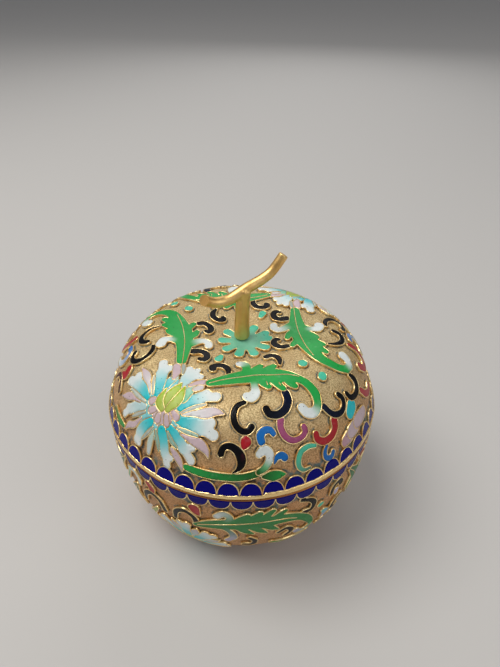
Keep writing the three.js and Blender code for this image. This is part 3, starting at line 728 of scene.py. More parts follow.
LID_HALF = [
    *BUD_CELLS, *STAMENS, LEAF_A, LEAF_B, *SLIVERS, *POINTED, *BROAD, *HEART,
    curl([(-12.8, 5), (-11.2, 5.4), (-9.6, 4.4), (-9, 2.8), (-9.7, 1.6), (-10.4, 1.9)],
         [0.75, 0.85, 0.9, 0.85, 0.75, 0.55], BLACK),
    curl([(-13.1, -7.9), (-11.4, -7.7), (-9.8, -8.4), (-9.2, -10), (-9.9, -11.3), (-11, -11.1)],
         [1.05, 0.95, 0.9, 0.85, 0.8, 0.7], BLACK),
    curl([(-3.2, -16.8), (-3.3, -15.3), (-4.4, -13.9), (-6.2, -13.6), (-7.5, -14.3), (-7.3, -15.2)],
         [0.55, 0.8, 0.85, 0.85, 0.85, 0.85], BLACK),
    curl([(-24.2, 3.6), (-26.2, 3.1), (-28, 1.6), (-28.7, -0.4), (-28, -2.2), (-26.4, -2.9)],
         [0.3, 0.5, 0.65, 0.7, 0.75, 0.75], BLACK),
    curl([(-24.4, -5), (-24.2, -6.6), (-25.3, -8.6), (-27.5, -9.7), (-29.6, -9), (-30.4, -7.2),
          (-29.7, -5.9)],
         [0.4, 0.6, 0.65, 0.7, 0.7, 0.7, 0.75], BLACK),
    curl([(29.8, -13), (31.6, -13.6), (32.6, -15.6), (31.9, -17.9), (30.2, -19.3), (28.4, -19)],
         [0.7, 1.0, 0.9, 0.8, 0.72, 0.65], BLACK),
    curl([(21.4, -24.8), (23.4, -25.7), (25.6, -25.6), (27.4, -24.2), (27.8, -22.3), (26.9, -20.7),
          (25.6, -20.4)],
         [0.75, 0.7, 0.75, 0.75, 0.75, 0.72, 0.7], (BLUE_BLACK, BLACK)),
    curl([(11.2, -23), (11.8, -25), (11.1, -27.4), (9.2, -28.9), (7.2, -28.9), (6.4, -27.8)],
         [0.9, 0.95, 0.9, 0.85, 0.85, 0.85], (BLUE_BLACK, BLACK)),
    curl([(1.1, -26.3), (-0.7, -27.3), (-1.5, -29.6), (-0.9, -31.9), (0.7, -33.2), (2.2, -33.1),
          (2.9, -32.2)],
         [0.5, 0.65, 0.72, 0.72, 0.7, 0.7, 0.75], BLACK),
    Cell("black", [
        Stroke([(-4.8, -38.4), (-4.2, -37.1), (-2.6, -36.6), (-0.8, -37.5), (0.4, -39.3), (0.5, -41.1),
                (-0.5, -42.6), (-1.9, -43.4)], [1.0, 0.9, 0.92, 1.1, 1.35, 1.15, 0.65, 0.2], BLACK),
        Stroke([(0.7, -38.7), (0.9, -39.7)], 0.4, MAROON)]),
    scroll([(-38.2, -8.7), (-35.6, -9.6), (-35, -12), (-36.2, -14.9)], 1.2, MAROON),
    scroll([(-34, -10.8), (-32.6, -12), (-31, -10.8)], 2.2, RED, "red", 0.9),
    curl([(25.2, -27.2), (26, -29), (25.4, -31.4), (23.2, -33.1), (21, -33), (20.1, -31.9)],
         [1.1, 1.0, 1.0, 0.92, 0.88, 0.82], RED, "red"),
    scroll([(30.8, -1.1), (33.8, -0.8), (37.3, -2.6), (37, -5.5), (34.3, -7)], 2, RED, "red"),
    scroll([(34.6, -14.9), (37.9, -14), (40.2, -11.6), (40.2, -9.3)], 2, RED, "red"),
    curl([(1.6, -35.7), (1.4, -36.2), (0.9, -37.4)], [1.3, 1.0, 0.15], RED, "red"),
    curl([(5.5, -35.4), (5.1, -34), (6.1, -32.8), (7.5, -32.6), (8.4, -33.4)], [0.9, 0.9, 0.85, 0.72, 0.6],
         SKY, "sky"),
    curl([(9.5, -40.6), (10, -39), (11.2, -38.3), (12.2, -38.8)], [0.15, 0.7, 0.9, 0.95], SKY, "sky"),
    curl([(24.6, -34), (24.6, -35.6), (25.4, -36.9), (26.8, -37), (27.8, -36), (27.8, -35)],
         [0.4, 0.62, 0.72, 0.72, 0.72, 0.68], SKY, "sky"),
    band("sky", [(-32, -2.3), (-31.8, -4.3), (-34.1, -6.1), (-36.5, -4.9), (-37.6, -2.6)],
         [0.9, 1, 1.05, 1, 1.1], (SKY, WHITE)),
    curl([(5.2, -38.4), (6.4, -37.3), (7.9, -38.3), (7.9, -40.2), (6.9, -42), (5.4, -43.1)],
         [0.95, 1.1, 1.05, 0.95, 0.85, 0.7], (WHITE, WHITE, WHITE, PALE_GREEN, DEEP_GREEN), "white"),
    curl([(6.9, -44.3), (9.4, -43.9), (11.4, -43.5), (13.2, -43.1)], [0.45, 1.3, 1.05, 0.15],
         (DEEP_GREEN, GREEN),
         "leaves"),
    curl([(-15.3, -41.4), (-12.4, -42.7), (-8.6, -43.9), (-4.1, -44.6), (0.3, -44.7), (3.7, -44),
          (5.6, -43.2)],
         [0.75, 0.95, 0.95, 0.92, 0.9, 0.9, 0.8], (GREEN, DEEP_GREEN), "leaves"),
    band("leaves", [(-39.8, -18.3), (-38.3, -22.7), (-36.2, -25.6)], [0.8, 1.1, 0.7],
         (OLIVE, GREEN)),
    curl([(10, -30.1), (10.1, -31.8), (11.5, -33.7), (13.7, -34.4), (15.9, -33.4), (16.8, -31.8),
          (16.2, -30.8)],
         [0.8, 0.75, 0.75, 0.7, 0.65, 0.7, 0.68], (MAUVE, MAUVE), "pink"),
    curl([(20.6, -34.7), (18.5, -35.2), (16.7, -36.8), (16.4, -39), (17.2, -40.8), (19, -41.5),
          (20.8, -40.6)],
         [0.4, 0.62, 0.72, 0.74, 0.66, 0.45, 0.3], (TURQUOISE, TURQUOISE, linear((96, 134, 112))),
         "turquoise"),
    curl([(30.9, -23.2), (31.1, -21.5)], [1.7, 1.95], CYAN, "turquoise"),
    band("pink", [(37.8, -19.8), (36.4, -22.4), (35.2, -24)], [1.7, 2.2, 2.1],
         (PALE_PINK, PALE_PINK)),
    band("pink", [(36, -23.4), (34.6, -26), (33.6, -27.6)], [1.9, 2.3, 2.1],
         (PALE_PINK, PALE_PINK)),
    band("pink", [(34.4, -26.8), (33, -29.2), (31.7, -31.2)], [1.9, 2.0, 1.5], (PALE_PINK, ROSE)),
    band("turquoise", [(16.3, -12.5)], 1.35, TURQUOISE),
    band("turquoise", [(21.2, -16.1), (21.1, -16.6)], 1.2, TURQUOISE),
    curl([(5.5, 9.4), (6.1, 10.8)], [0.65, 1.05], TURQUOISE, "turquoise"),
]
FLOWER = (1, -1.7)
LID_SINGLE = [
    Cell("black", [Stroke([(-8.1, 12.3), (-8.9, 10.6), (-8.7, 8.8), (-7.2, 7.5), (-5.8, 7.7), (-5.7, 8.6)],
                          [0.5, 0.92, 1.0, 1.0, 1.05, 0.87], BLACK)], once=True),
    Cell("black", [Stroke([(10.3, -12.9), (10.2, -11), (9.4, -9.6), (7.9, -9.1), (6.7, -9.7)],
                          [0.5, 0.85, 0.98, 0.98, 0.92], BLACK)], once=True),
    Cell("turquoise", [
        Stroke([FLOWER], 4.4, linear((132, 208, 174))),
        *[Stroke([ray(FLOWER, 3.6, 30 + 37.5 * k), ray(FLOWER, 6.5, 30 + 37.5 * k)], [1.1, 1.4],
                 (SEA, TURQUOISE))
          for k in range(10)]], once=True)]


# ---------------------------------------------------------------- the bowl's motifs
def down(points):
    """Degrees round from the +X side and depth below the bowl's top edge, as plan points."""
    return [(math.radians(degrees) * RIM_RADIUS, -depth - 0.4) for degrees, depth in points]


def bowl_scroll(points, width, tint, family="black", end=1.15):
    return scroll(down(points), width, tint, family, end)


# The lid's green darkened for the bowl's leaves: painted shade.
SHADED_BOWL_GREEN = GREEN * 0.5 + DEEP_GREEN * 0.5
BOWL_LEAF = Cell("leaves", [
    Stroke(down([(-107.5, 13.4), (-100, 11.2), (-90, 9.9), (-80, 9.6), (-72, 9.8), (-65, 12), (-60.5, 16),
                 (-58, 20)]),
           [1.0, 2.2, 2.8, 2.6, 2.2, 1.6, 1.3, 0.8], (SHADED_BOWL_GREEN, SHADED_BOWL_GREEN)),
    Stroke(down([(-58, 20), (-60, 22.6), (-63.5, 22.4), (-65.5, 20.5)]), [0.8, 1.0, 1.2, 1.1],
           (PALE_GREEN, LILAC)),
    Stroke(down([(-96, 10), (-93.6, 7), (-96, 5.2), (-98.5, 6.6)]), [0.9, 1.0, 1.2, 1.1],
           (SHADED_BOWL_GREEN, WHITE)),
    *fingers(SHADED_BOWL_GREEN, [(down([(-92, 9.6), (-88.8, 7), (-87, 5.8)]), [1.7, 1.3, 0.9]),
                          (down([(-87, 9), (-84, 6.4), (-82.2, 5)]), [1.7, 1.3, 0.9]),
                          (down([(-82, 8.8), (-79.2, 6), (-77.4, 4.6)]), [1.6, 1.2, 0.85]),
                          (down([(-77, 9), (-74.4, 6.8), (-72.6, 5.8)]), [1.5, 1.1, 0.8]),
                          (down([(-91, 11), (-87.4, 14), (-84.6, 15.6)]), [1.6, 1.2, 0.45]),
                          (down([(-85.6, 11), (-82, 14), (-79.2, 15.8)]), [1.6, 1.2, 0.45]),
                          (down([(-80.4, 11), (-77, 13.6), (-74.6, 15)]), [1.5, 1.1, 0.45])]),
    Stroke(down([(-97, 12), (-93.6, 14.6), (-92.6, 18), (-95, 20.4)]), [0.8, 0.9, 1.2, 1.1],
           (SHADED_BOWL_GREEN, LILAC)),
], veins=[down([(-107, 13.2), (-100, 11.2), (-90, 9.9), (-80, 9.5), (-72, 10), (-67, 11.6)])])

BOWL_LEAF_RIGHT = Cell("leaves", [
    Stroke(down([(-40, 4.2), (-35, 8.6), (-29.6, 14), (-24, 19.6), (-19.6, 25), (-18, 30)]),
           [0.9, 1.9, 2.4, 2.2, 1.7, 1.0], (DEEP_GREEN, SHADED_BOWL_GREEN)),
    Stroke(down([(-18, 30), (-20, 33.6), (-24.5, 33)]), [1.0, 1.1, 1.1], (PALE_GREEN, WHITE)),
    *fingers(SHADED_BOWL_GREEN, [(down([(-36, 8), (-30, 7.8), (-26.5, 6.4)]), [1.4, 1.2, 0.5]),
                          (down([(-31, 12.6), (-25, 12.4), (-21.6, 11)]), [1.6, 1.2, 0.5]),
                          (down([(-26, 17.6), (-20, 17), (-16.8, 16)]), [1.5, 1.1, 0.5]),
                          (down([(-35, 9), (-37.6, 13), (-37.2, 16)]), [1.4, 1.1, 0.45]),
                          (down([(-30, 14), (-33, 18.6), (-32.6, 21.6)]), [1.5, 1.1, 0.45]),
                          (down([(-25, 19), (-28, 23), (-28.6, 26)]), [1.4, 1.1, 0.45])]),
], veins=[down([(-40, 4.4), (-35, 8.8), (-29.6, 14.2), (-24, 19.6), (-20.6, 24)])])

BOWL_LEFT = [
    Cell("leaves", [
        Stroke(down([(-144.4, 3), (-148, 5.4), (-153, 9), (-158, 13.2), (-163, 17.4)]),
               [0.6, 1.5, 1.9, 1.7, 0.6],
               (OLIVE, PALE_GREEN * 0.5 + OLIVE * 0.5, OLIVE)),
        *fingers(OLIVE, [(down([(-149, 6.6), (-150, 9.4), (-149.4, 11.6)]), [1.3, 1.0, 0.6]),
                         (down([(-153.6, 10), (-155.4, 13.4), (-155, 15.8)]), [1.3, 1.0, 0.6]),
                         (down([(-151, 7.4), (-156, 7.8), (-158.6, 6.6)]), [1.3, 1.0, 0.6]),
                         (down([(-157, 12), (-161.6, 12.4), (-164.6, 11.4)]), [1.3, 1.0, 0.6])]),
    ], veins=[down([(-145, 3.4), (-148, 5.4), (-153, 9), (-158, 13.2), (-161, 15.8)])]),
    band("white", down([(-134.4, 8), (-134.2, 5.6), (-136.8, 4), (-140.4, 4.8), (-142, 7.6),
                        (-145.4, 12), (-150, 16.4), (-156, 20), (-159.6, 23), (-161, 25.4)]),
         [0.6, 0.9, 1.0, 0.9, 0.55, 0.5, 0.5, 0.6, 0.9, 1.4],
         (WHITE, WHITE, PALE_GREEN, PALE_GREEN, PALE_GREEN, WHITE)),
    Cell("leaves", [
        Stroke(down([(-137.6, 10.6), (-141, 14.6), (-145.6, 19.6), (-151, 24.4), (-157, 28.4)]),
               [0.6, 1.6, 1.9, 1.6, 0.7], (OLIVE, DEEP_GREEN, OLIVE)),
        *fingers(OLIVE, [(down([(-141.6, 16), (-138.8, 19.6), (-139.2, 22.4)]), [1.4, 1.1, 0.6]),
                         (down([(-146, 21), (-143.4, 24.8), (-144, 27.6)]), [1.4, 1.1, 0.6]),
                         (down([(-151, 25), (-149.4, 28.8), (-150.4, 31.2)]), [1.3, 1.0, 0.6])]),
    ], veins=[down([(-138, 11.2), (-141, 14.6), (-145.6, 19.6), (-151, 24.4), (-154.6, 27)])]),
]


def bowl_lotus(centre, petals, reach, first):
    """A lotus of broad notched petals with slim ones between, round a pointed bud."""
    cx, cy = down([centre])[0]
    heart = [band("bud", [(cx, cy - 1.6), (cx, cy + 1), (cx, cy + 3.6)], [1.2, 2.1, 0.2],
                  (YELLOW, BUD))]
    heart += [band("pale", [ray((cx, cy - 0.4), 3.4, 200 + 28 * k)],
                   1.0, PALE_PINK) for k in range(6)]
    slim, broad = [], []
    for k in range(petals):
        bearing = first + 360 / petals * k
        between = bearing + 180 / petals
        slim.append(narrow_petal(ray((cx, cy), 5, between), ray((cx, cy), reach * 0.98, between)))
        broad.append(broad_petal(ray((cx, cy), 4.2, bearing),
                                 [ray((cx, cy), reach, bearing - 5.5), ray((cx, cy),
                                                                           reach * 0.95, bearing + 6)]))
    return heart + slim + broad


BOWL_HALF = [
    BOWL_LEAF, BOWL_LEAF_RIGHT, *BOWL_LEFT, *bowl_lotus((-114, 28.5), 9, 12.5, 90),
    bowl_scroll([(-116.8, 13.6), (-115.6, 9.8), (-111.8, 7.8), (-108.2, 9.4), (-107, 12.4)], 1.5, BLACK),
    bowl_scroll([(-133, 14.4), (-131.6, 10.4), (-127.6, 7.8), (-123.4, 9), (-121.8, 13)], 1.5, BLACK),
    band("red", down([(-107.3, 5), (-106.6, 6.6), (-105.4, 7.8)]), [1.7, 1.2, 0.3], RED),
    band("red", down([(-128, 4), (-126.6, 5.4), (-127.2, 7)]), [1.2, 1.3, 0.6], RED),
    band("yellow", down([(-127, 15.4), (-131, 20), (-136, 25), (-140, 28)]), [0.5, 0.8, 0.8, 0.6],
         YELLOW),
    bowl_scroll([(-66, 3.4), (-62, 5), (-60, 7.4), (-61, 10), (-64, 10)], 1.5, BLACK),
    band("turquoise", down([(-56, 10.5)]), 1.2, TURQUOISE),
    bowl_scroll([(-51, 8.6), (-50.6, 5.6), (-47.6, 4.2), (-46, 6.2)], 1.5, BLACK),
    band("white", down([(-48.4, 8.2), (-48, 9.6)]), [1.1, 0.8], LILAC),
    band("turquoise", down([(-52.6, 16), (-50.6, 18.4), (-51.4, 20.6)]), [0.9, 1.4, 1.0],
         (CYAN, LILAC)),
    bowl_scroll([(-86, 18.6), (-83.6, 21), (-84.6, 24), (-88, 24)], 1.5, BLACK),
    bowl_scroll([(-74, 17.6), (-70.6, 16), (-68, 18.6), (-70, 21.2)], 1.5, BLACK),
    bowl_scroll([(-43.6, 13), (-46.4, 15), (-46.6, 19), (-43, 20.4)], 1.6, BLACK),
    bowl_scroll([(-33.6, 3.6), (-30.4, 3.2), (-27.6, 4)], 1.3, RED, "red"),
    bowl_scroll([(-20.6, 6), (-18.6, 4), (-15, 4.6), (-14.4, 7.6), (-17, 8.6)], 1.6, BLACK),
    bowl_scroll([(-10.6, 16), (-7, 14.6), (-5, 17.6), (-7.6, 20.4)], 1.7, SKY, "sky"),
    bowl_scroll([(-167.6, 12.6), (-169.6, 10.6), (-173, 11), (-173.6, 13.8), (-171.4, 15)], 1.5, BLACK),
    bowl_scroll([(-172, 5), (-169, 4), (-166, 5.6), (-166.6, 8)], 1.6, RED, "red"),
    bowl_scroll([(-168, 17), (-171.6, 18.6), (-172, 22.6), (-168, 24)], 1.7, BLACK),
    band("white", down([(-149, 4.6), (-152.6, 4.4), (-155, 6.6)]), [1.2, 1.1, 0.7], (WHITE, LILAC)),
    band("turquoise", down([(-3.6, 8), (-2.4, 9.6)]), [1.3, 1.0], TURQUOISE),
    bowl_scroll([(-76, 25), (-70, 27.4), (-64, 27.6), (-58, 26.4)], 1.5, (GREEN, DEEP_GREEN), "leaves"),
    bowl_scroll([(-52, 25.6), (-48.6, 28.6), (-43.6, 28.4), (-43, 25.2)], 1.6, BLACK),
    bowl_scroll([(-38, 27), (-36, 31), (-31, 32.6), (-29, 30)], 1.6, MAUVE, "pink"),
    bowl_scroll([(-10, 26), (-6, 29), (-9.6, 32.6)], 1.7, BLACK),
]


# ---------------------------------------------------------------- scallops round the rims
SCALLOP_PITCH = 2 * math.pi * RIM_RADIUS / SCALLOPS
SCALLOP_HALF = 0.486 * SCALLOP_PITCH
SCALLOP_FULL = 2.15


def scallop_field(across, depth, reach):
    """Signed distance to the nearest scallop, from the distance round the rim and from its edge."""
    a = (across / SCALLOP_PITCH - np.round(across / SCALLOP_PITCH)) * SCALLOP_PITCH
    deep = np.maximum(depth - SCALLOP_CLEAR, 0) / (reach - SCALLOP_CLEAR)
    q = (np.abs(a / SCALLOP_HALF) ** SCALLOP_FULL + deep ** SCALLOP_FULL) ** (1 / SCALLOP_FULL)
    return (q - 1) * min(SCALLOP_HALF, reach) * np.where(q > 1, 0.8, 1)


def lid_border(x, y):
    s = np.hypot(x, y)
    across = (np.arctan2(y, x) - LID_SCALLOP_PHASE) * RIM_RADIUS
    depth = LID.length - s
    return np.maximum(-scallop_field(across, depth, LID_SCALLOP_DEPTH), 0.5 - depth)


def bowl_border(x, y):
    across = x - BOWL_SCALLOP_PHASE * RIM_RADIUS
    floor = -y - (BOWL.length - 1.5)
    return np.maximum(np.maximum(-scallop_field(across, -y, BOWL_SCALLOP_DEPTH), 0.5 + y), floor)


lid = Pattern(on_lid, [lambda x, y: (x, y), lambda x, y: (-x, -y)], lid_border)
bowl = Pattern(on_bowl, [lambda x, y: (x, y), lambda x, y: (x - HALF_ROUND, y),
                         lambda x, y: (x + HALF_ROUND, y)],
               bowl_border)


def scallop_outline(reach):
    """One arch from foot to foot, as distances along the rim and from it."""
    t = np.linspace(0, math.pi, 17)
    c, d = np.cos(t), np.sin(t)
    return np.column_stack([-SCALLOP_HALF * np.sign(c) * np.abs(c) ** (2 / SCALLOP_FULL),
                            SCALLOP_CLEAR + (reach - SCALLOP_CLEAR) * np.abs(d) ** (2 / SCALLOP_FULL)])


def lid_edge(across, depth):
    bearing = LID_SCALLOP_PHASE + across / RIM_RADIUS
    return np.column_stack([(LID.length - depth) * np.cos(bearing), (LID.length - depth) * np.sin(bearing)])


def bowl_edge(across, depth):
    return np.column_stack([BOWL_SCALLOP_PHASE * RIM_RADIUS + across, -depth])


def border(pattern, edge, reach, wires, chips):
    """All the scallops of one side: a wire arch and a chip of cobalt in each."""
    arch = scallop_outline(reach)[::-1]
    low = np.array([-SCALLOP_HALF, 0]) - CELL_MARGIN
    x, y = grid(low, np.array([SCALLOP_HALF, reach]) + CELL_MARGIN)
    f = np.maximum(scallop_field(x, y, reach), -0.05 - y)
    one = band("cobalt", [(0, 0.2), (0, reach - 1)], 1.5, (COBALT, COBALT))
    one.low = low
    loops = [thinned_ring(loop)[:-1] for loop in zero_loops(f, low)]
    plans, lifts, tops, skirt, tint = fill(one, f, loops, ENAMEL_ROOT, BORDER_ENAMEL_HEIGHT)
    for k in range(SCALLOPS):
        across = k * SCALLOP_PITCH
        path = edge(arch[:, 0] + across, arch[:, 1])
        ribbon(wires, pattern.place, path, False, BORDER_WIRE_WIDTH, BORDER_WIRE_HEIGHT)
        pattern.laid = np.vstack([pattern.laid, smooth_path(path, 0.1)])
        verts = pattern.place(edge(plans[:, 0] + across, plans[:, 1]), lifts)
        add_chip(chips, verts, [top[:, ::-1] for top in tops], skirt[:, ::-1], tint)


def add_chip(build, verts, faces, skirt, tint):
    """Adds a chip's top, underside and skirt."""
    build.add(verts, faces[0], tint)
    start = build.count - len(verts)
    build.faces += [faces[1] + start, skirt + start]


FAMILIES = {
    "leaves": "enamel_green", "lotus": "enamel_white", "pale": "enamel_pink", "bud": "enamel_green",
    "black": "enamel_black", "red": "enamel_red", "sky": "enamel_cobalt", "cobalt": "enamel_cobalt",
    "white": "enamel_white", "pink": "enamel_pink", "turquoise": "enamel_turquoise", "yellow": "enamel_green",
}


def dress(pattern, name, half, single, edge, reach):
    """Lays out one side and makes its enamel pieces and its wires."""
    wires, chips = Build(), {}
    border(pattern, edge, reach, wires, chips.setdefault("cobalt", Build()))
    for cell in half + single:
        pattern.add(cell)
    for points, closed, once in pattern.wires:
        one = Build()
        ribbon(one, pattern.place, points, closed, WIRE_WIDTH, WIRE_HEIGHT)
        for k in range(1 if once else 2):
            for i, faces in enumerate(one.faces):
                if i == 0:
                    wires.add(one.verts[0] if k == 0 else turned_half(one.verts[0]), faces)
                else:
                    wires.faces.append(faces + wires.count - one.count)
    for cell, f, loops in pattern.chips:
        made = fill(cell, f, loops, ENAMEL_ROOT, ENAMEL_HEIGHT)
        if made is None:
            continue
        plans, lifts, tops, skirt, tint = made
        verts = pattern.place(plans, lifts)
        into = chips.setdefault(cell.family, Build())
        for k in range(1 if cell.once else 2):
            add_chip(into, verts if k == 0 else turned_half(verts), tops, skirt, tint)
    pieces = [wires.piece(f"{name}_wires", "gilt_wire")]
    for family, build in chips.items():
        pieces.append(build.piece(f"{name}_{family}_enamel", FAMILIES[family], attribute="tint"))
    return pieces


lid_pieces = dress(lid, "lid", LID_HALF, LID_SINGLE, lid_edge, LID_SCALLOP_DEPTH)
bowl_pieces = dress(bowl, "bowl", BOWL_HALF, [], bowl_edge, BOWL_SCALLOP_DEPTH)


# ---------------------------------------------------------------- the gilt ground
def wobble(p, size):
    """A gentle unevenness, from the place alone."""
    x, y, z = p[:, 0] / size, p[:, 1] / size, p[:, 2] / size
    return (np.sin(1.3 * x + 0.7 * y + 2.1) * np.sin(1.1 * y - 0.9 * z + 0.4) * np.sin(0.8 * z + 1.2 * x + 1.1)
            + 0.5 * np.sin(2.9 * x - 2.3 * y + 0.6) * np.sin(2.7 * z + 1.9 * y + 2.5))


def lathe(build, section, segments):
    """A closed section of (radius, height), counter-clockwise, turned about the axis."""
    section = np.array(section, float)
    bearing = np.linspace(0, 2 * math.pi, segments, endpoint=False)
    verts = np.stack([np.outer(np.cos(bearing), section[:, 0]), np.outer(np.sin(bearing), section[:, 0]),
                      np.broadcast_to(section[:, 1], (segments, len(section)))], axis=-1)
    build.add(verts.reshape(-1, 3), ring_quads(segments, len(section), True)[:, [0, 3, 2, 1]])


AXIS = 0.02
GROUND_TURNS = 600
RUNS = 120
# How far the dirt and painted shade at a wire's foot reach.
DIRT_AND_SHADE_REACH = 0.42
DENT = 0.07
HEADS_BAND = 1.3
# How far above the scallops' heads the browning and painted warm reflection fade out, and how strong they are.
BROWNING_AND_REFLECTION_RISE = 13
BROWNING_AND_REFLECTION_SHARE = 0.75


# Dirt and painted shade: the gilt ground darkened at the foot of every wire.
def dirt_and_shade_near_wires(points, laid, place):
    """How near each point is to the foot of a wire, 1 beside it and 0 away from it."""
    line = place(laid, 0.0)
    tree = KDTree(len(line))
    for i, p in enumerate(line):
        tree.insert(p, i)
    tree.balance()
    gap = np.array([tree.find(p)[2] for p in points])
    return np.exp(-np.maximum(gap - 0.15, 0) / DIRT_AND_SHADE_REACH)


def ground(name, outer, rest, segments, replaces, pattern, heads):
    """One shell: outer is the patterned face from the bottom up, rest the plain way back round.
    heads is the height of the scallops' heads. Red marks dirt and painted shade at the wires' feet and a
    darker band above the heads; green marks browning of the gilt and a painted warm reflection, stronger lower
    down."""
    section = np.vstack([outer, rest])
    build = Build()
    lathe(build, section, segments)
    verts = build.verts[0]
    outside = np.tile(np.arange(len(section)) < len(outer), segments)
    radial = np.hypot(verts[:, 0], verts[:, 1])
    ease = outside * np.clip((radial - 1) / 4, 0, 1)
    dent = DENT * np.abs(wobble(verts, 5.0)) * ease
    verts[:, :2] *= (1 - dent / np.maximum(radial, 1))[:, None]
    tint = np.zeros((len(verts), 3))
    # A darker band on the ground just above the scallops' heads, added to the dirt and painted shade.
    heads_darkening = np.exp(-((verts[outside, 2] - heads) / HEADS_BAND) ** 2)
    tint[outside, 0] = np.clip(dirt_and_shade_near_wires(verts[outside], pattern.laid, pattern.place) + 0.55 * heads_darkening, 0, 1)
    # Browning and painted warm reflection: the ground browner the lower it lies.
    tint[outside, 1] = BROWNING_AND_REFLECTION_SHARE * np.clip((heads + BROWNING_AND_REFLECTION_RISE - verts[outside, 2]) / (BROWNING_AND_REFLECTION_RISE + 1),
                                              0, 1)
    build.tints[0] = tint
    return build.piece(name, "gilt_ground", replaces, "tint")


lid_outer = np.column_stack(LID.at(np.linspace(LID.length, AXIS, RUNS)))
lid_inner = np.column_stack(LID.at(np.linspace(AXIS, LID.length, 14), -WALL))
lid_inner[-1, 1] = LID_BASE_Z
lid_ground = ground("lid_ground", lid_outer, lid_inner, GROUND_TURNS, ["lid"], lid,
                    float(LID.at(LID.length - LID_SCALLOP_DEPTH - 0.3)[1]))

FLOOR_Z = UNDERSIDE_RECESS + WALL
bowl_outer = np.column_stack(BOWL.at(np.linspace(BOWL.length, 0, RUNS)))
bowl_inner = np.column_stack(BOWL.at(np.linspace(0, BOWL.length, 16), -WALL))
bowl_inner[0, 1] = BOWL_TOP_Z
bowl_inner = bowl_inner[bowl_inner[:, 1] > FLOOR_Z]
bowl_floor = [(bowl_inner[-1, 0] - 2.5, FLOOR_Z), (AXIS, FLOOR_Z)]
underside = [(AXIS, UNDERSIDE_RECESS), (FOOT_INNER_RADIUS - 1, UNDERSIDE_RECESS),
             (FOOT_INNER_RADIUS - 0.1, 0.15),
             (FOOT_INNER_RADIUS + 0.2, 0), (FOOT_OUTER_RADIUS - 0.2, 0), (FOOT_OUTER_RADIUS + 0.1, 0.2)]
bowl_rest = np.vstack([bowl_inner, bowl_floor, underside])
bowl_ground = ground("bowl_ground", bowl_outer, bowl_rest, GROUND_TURNS, ["bowl"], bowl,
                     BOWL_TOP_Z - BOWL_SCALLOP_DEPTH - 0.3)


# ---------------------------------------------------------------- the gilt rims
def uneven_ring(name, section, segments, replaces):
    """A turned ring. section(bearing) gives its closed outline there, counter-clockwise."""
    bearings = np.linspace(0, 2 * math.pi, segments, endpoint=False)
    outlines = np.array([section(b) for b in bearings])
    verts = np.stack([outlines[:, :, 0] * np.cos(bearings)[:, None],
                      outlines[:, :, 0] * np.sin(bearings)[:, None],
                      outlines[:, :, 1]], axis=-1)
    build = Build()
    build.add(verts.reshape(-1, 3), ring_quads(*outlines.shape[:2], True)[:, [0, 3, 2, 1]])
    return build.piece(name, "gilt_rim", replaces)


LID_RIM_TURNS = 720
BOWL_RIM_TURNS = 360
RAGGED_FROM = math.radians(-80.5)
RAGGED_TO = math.radians(-14)
RAGGED_LIP = 0.62
EVEN_LIP = 0.28
BEAD = 0.36


def lip_reach(bearing):
    """How far the gilt edge of the lid laps up over the scallops: a ragged step at the front."""
    b = (bearing + math.pi) % (2 * math.pi) - math.pi
    ripple = 0.06 * math.sin(31 * b) + 0.05 * math.sin(67 * b + 1) + 0.04 * math.sin(143 * b + 2)
    wide = RAGGED_LIP if RAGGED_FROM < b < RAGGED_TO else EVEN_LIP
    return max(0.03, wide + ripple + 0.05 * math.sin(5 * b + 0.5))


def lid_rim_section(bearing):
    """A rounded bead whose upper edge laps over the scallops."""
    bottom = SEAM_Z + SEAM_GAP / 2
    inside = COLLAR_RADIUS + SEAM_GAP
    lip = lip_reach(bearing)
    worn = 0.03 * math.sin(9 * bearing) + 0.02 * math.sin(23 * bearing + 1)
    top_r, top_z = (float(v) for v in LID.at(LID.length - lip, 0.5))
    foot_r, foot_z = (float(v) for v in LID.at(LID.length - lip - 0.1, 0.2))
    bead = []
    for t in np.linspace(-1, 1, 9):
        out = (BEAD - abs(worn)) * math.sqrt(max(1 - t * t, 0)) ** 0.8
        share = (t + 1) / 2
        bead.append((min(RIM_RADIUS - BEAD + share * (top_r - RIM_RADIUS + BEAD) + out, RIM_RADIUS - 0.01),
                     bottom + share * (top_z - bottom) + 0.12 * out * (1 + t)))
    return [(inside, bottom), *bead, (foot_r, foot_z), (GROUND_RADIUS - 0.8, LID_BASE_Z),
            (inside, LID_BASE_Z)]


def bowl_rim_section(bearing):
    """A narrow worn flange under the lid's bead, with the collar standing inside it."""
    top = SEAM_Z - SEAM_GAP / 2
    inside = COLLAR_RADIUS - 1
    worn = abs(0.04 * math.sin(7 * bearing + 2) + 0.02 * math.sin(29 * bearing))
    return [(inside, BOWL_TOP_Z), (GROUND_RADIUS + 0.3, BOWL_TOP_Z), (RIM_RADIUS - 0.3, BOWL_TOP_Z + 0.1),
            (RIM_RADIUS - 0.16 - worn, BOWL_TOP_Z + 0.3), (RIM_RADIUS - 0.14 - worn, top - 0.26),
            (RIM_RADIUS - 0.26, top - 0.06), (RIM_RADIUS - 0.5, top),
            (COLLAR_RADIUS, top), (COLLAR_RADIUS, COLLAR_TOP_Z - 0.15), (COLLAR_RADIUS - 0.15, COLLAR_TOP_Z),
            (inside + 0.15, COLLAR_TOP_Z), (inside, COLLAR_TOP_Z - 0.15)]


lid_rim = uneven_ring("lid_gilt_rim", lid_rim_section, LID_RIM_TURNS, ["lid_rim"])
bowl_rim = uneven_ring("bowl_gilt_rim", bowl_rim_section, BOWL_RIM_TURNS, ["bowl_rim"])


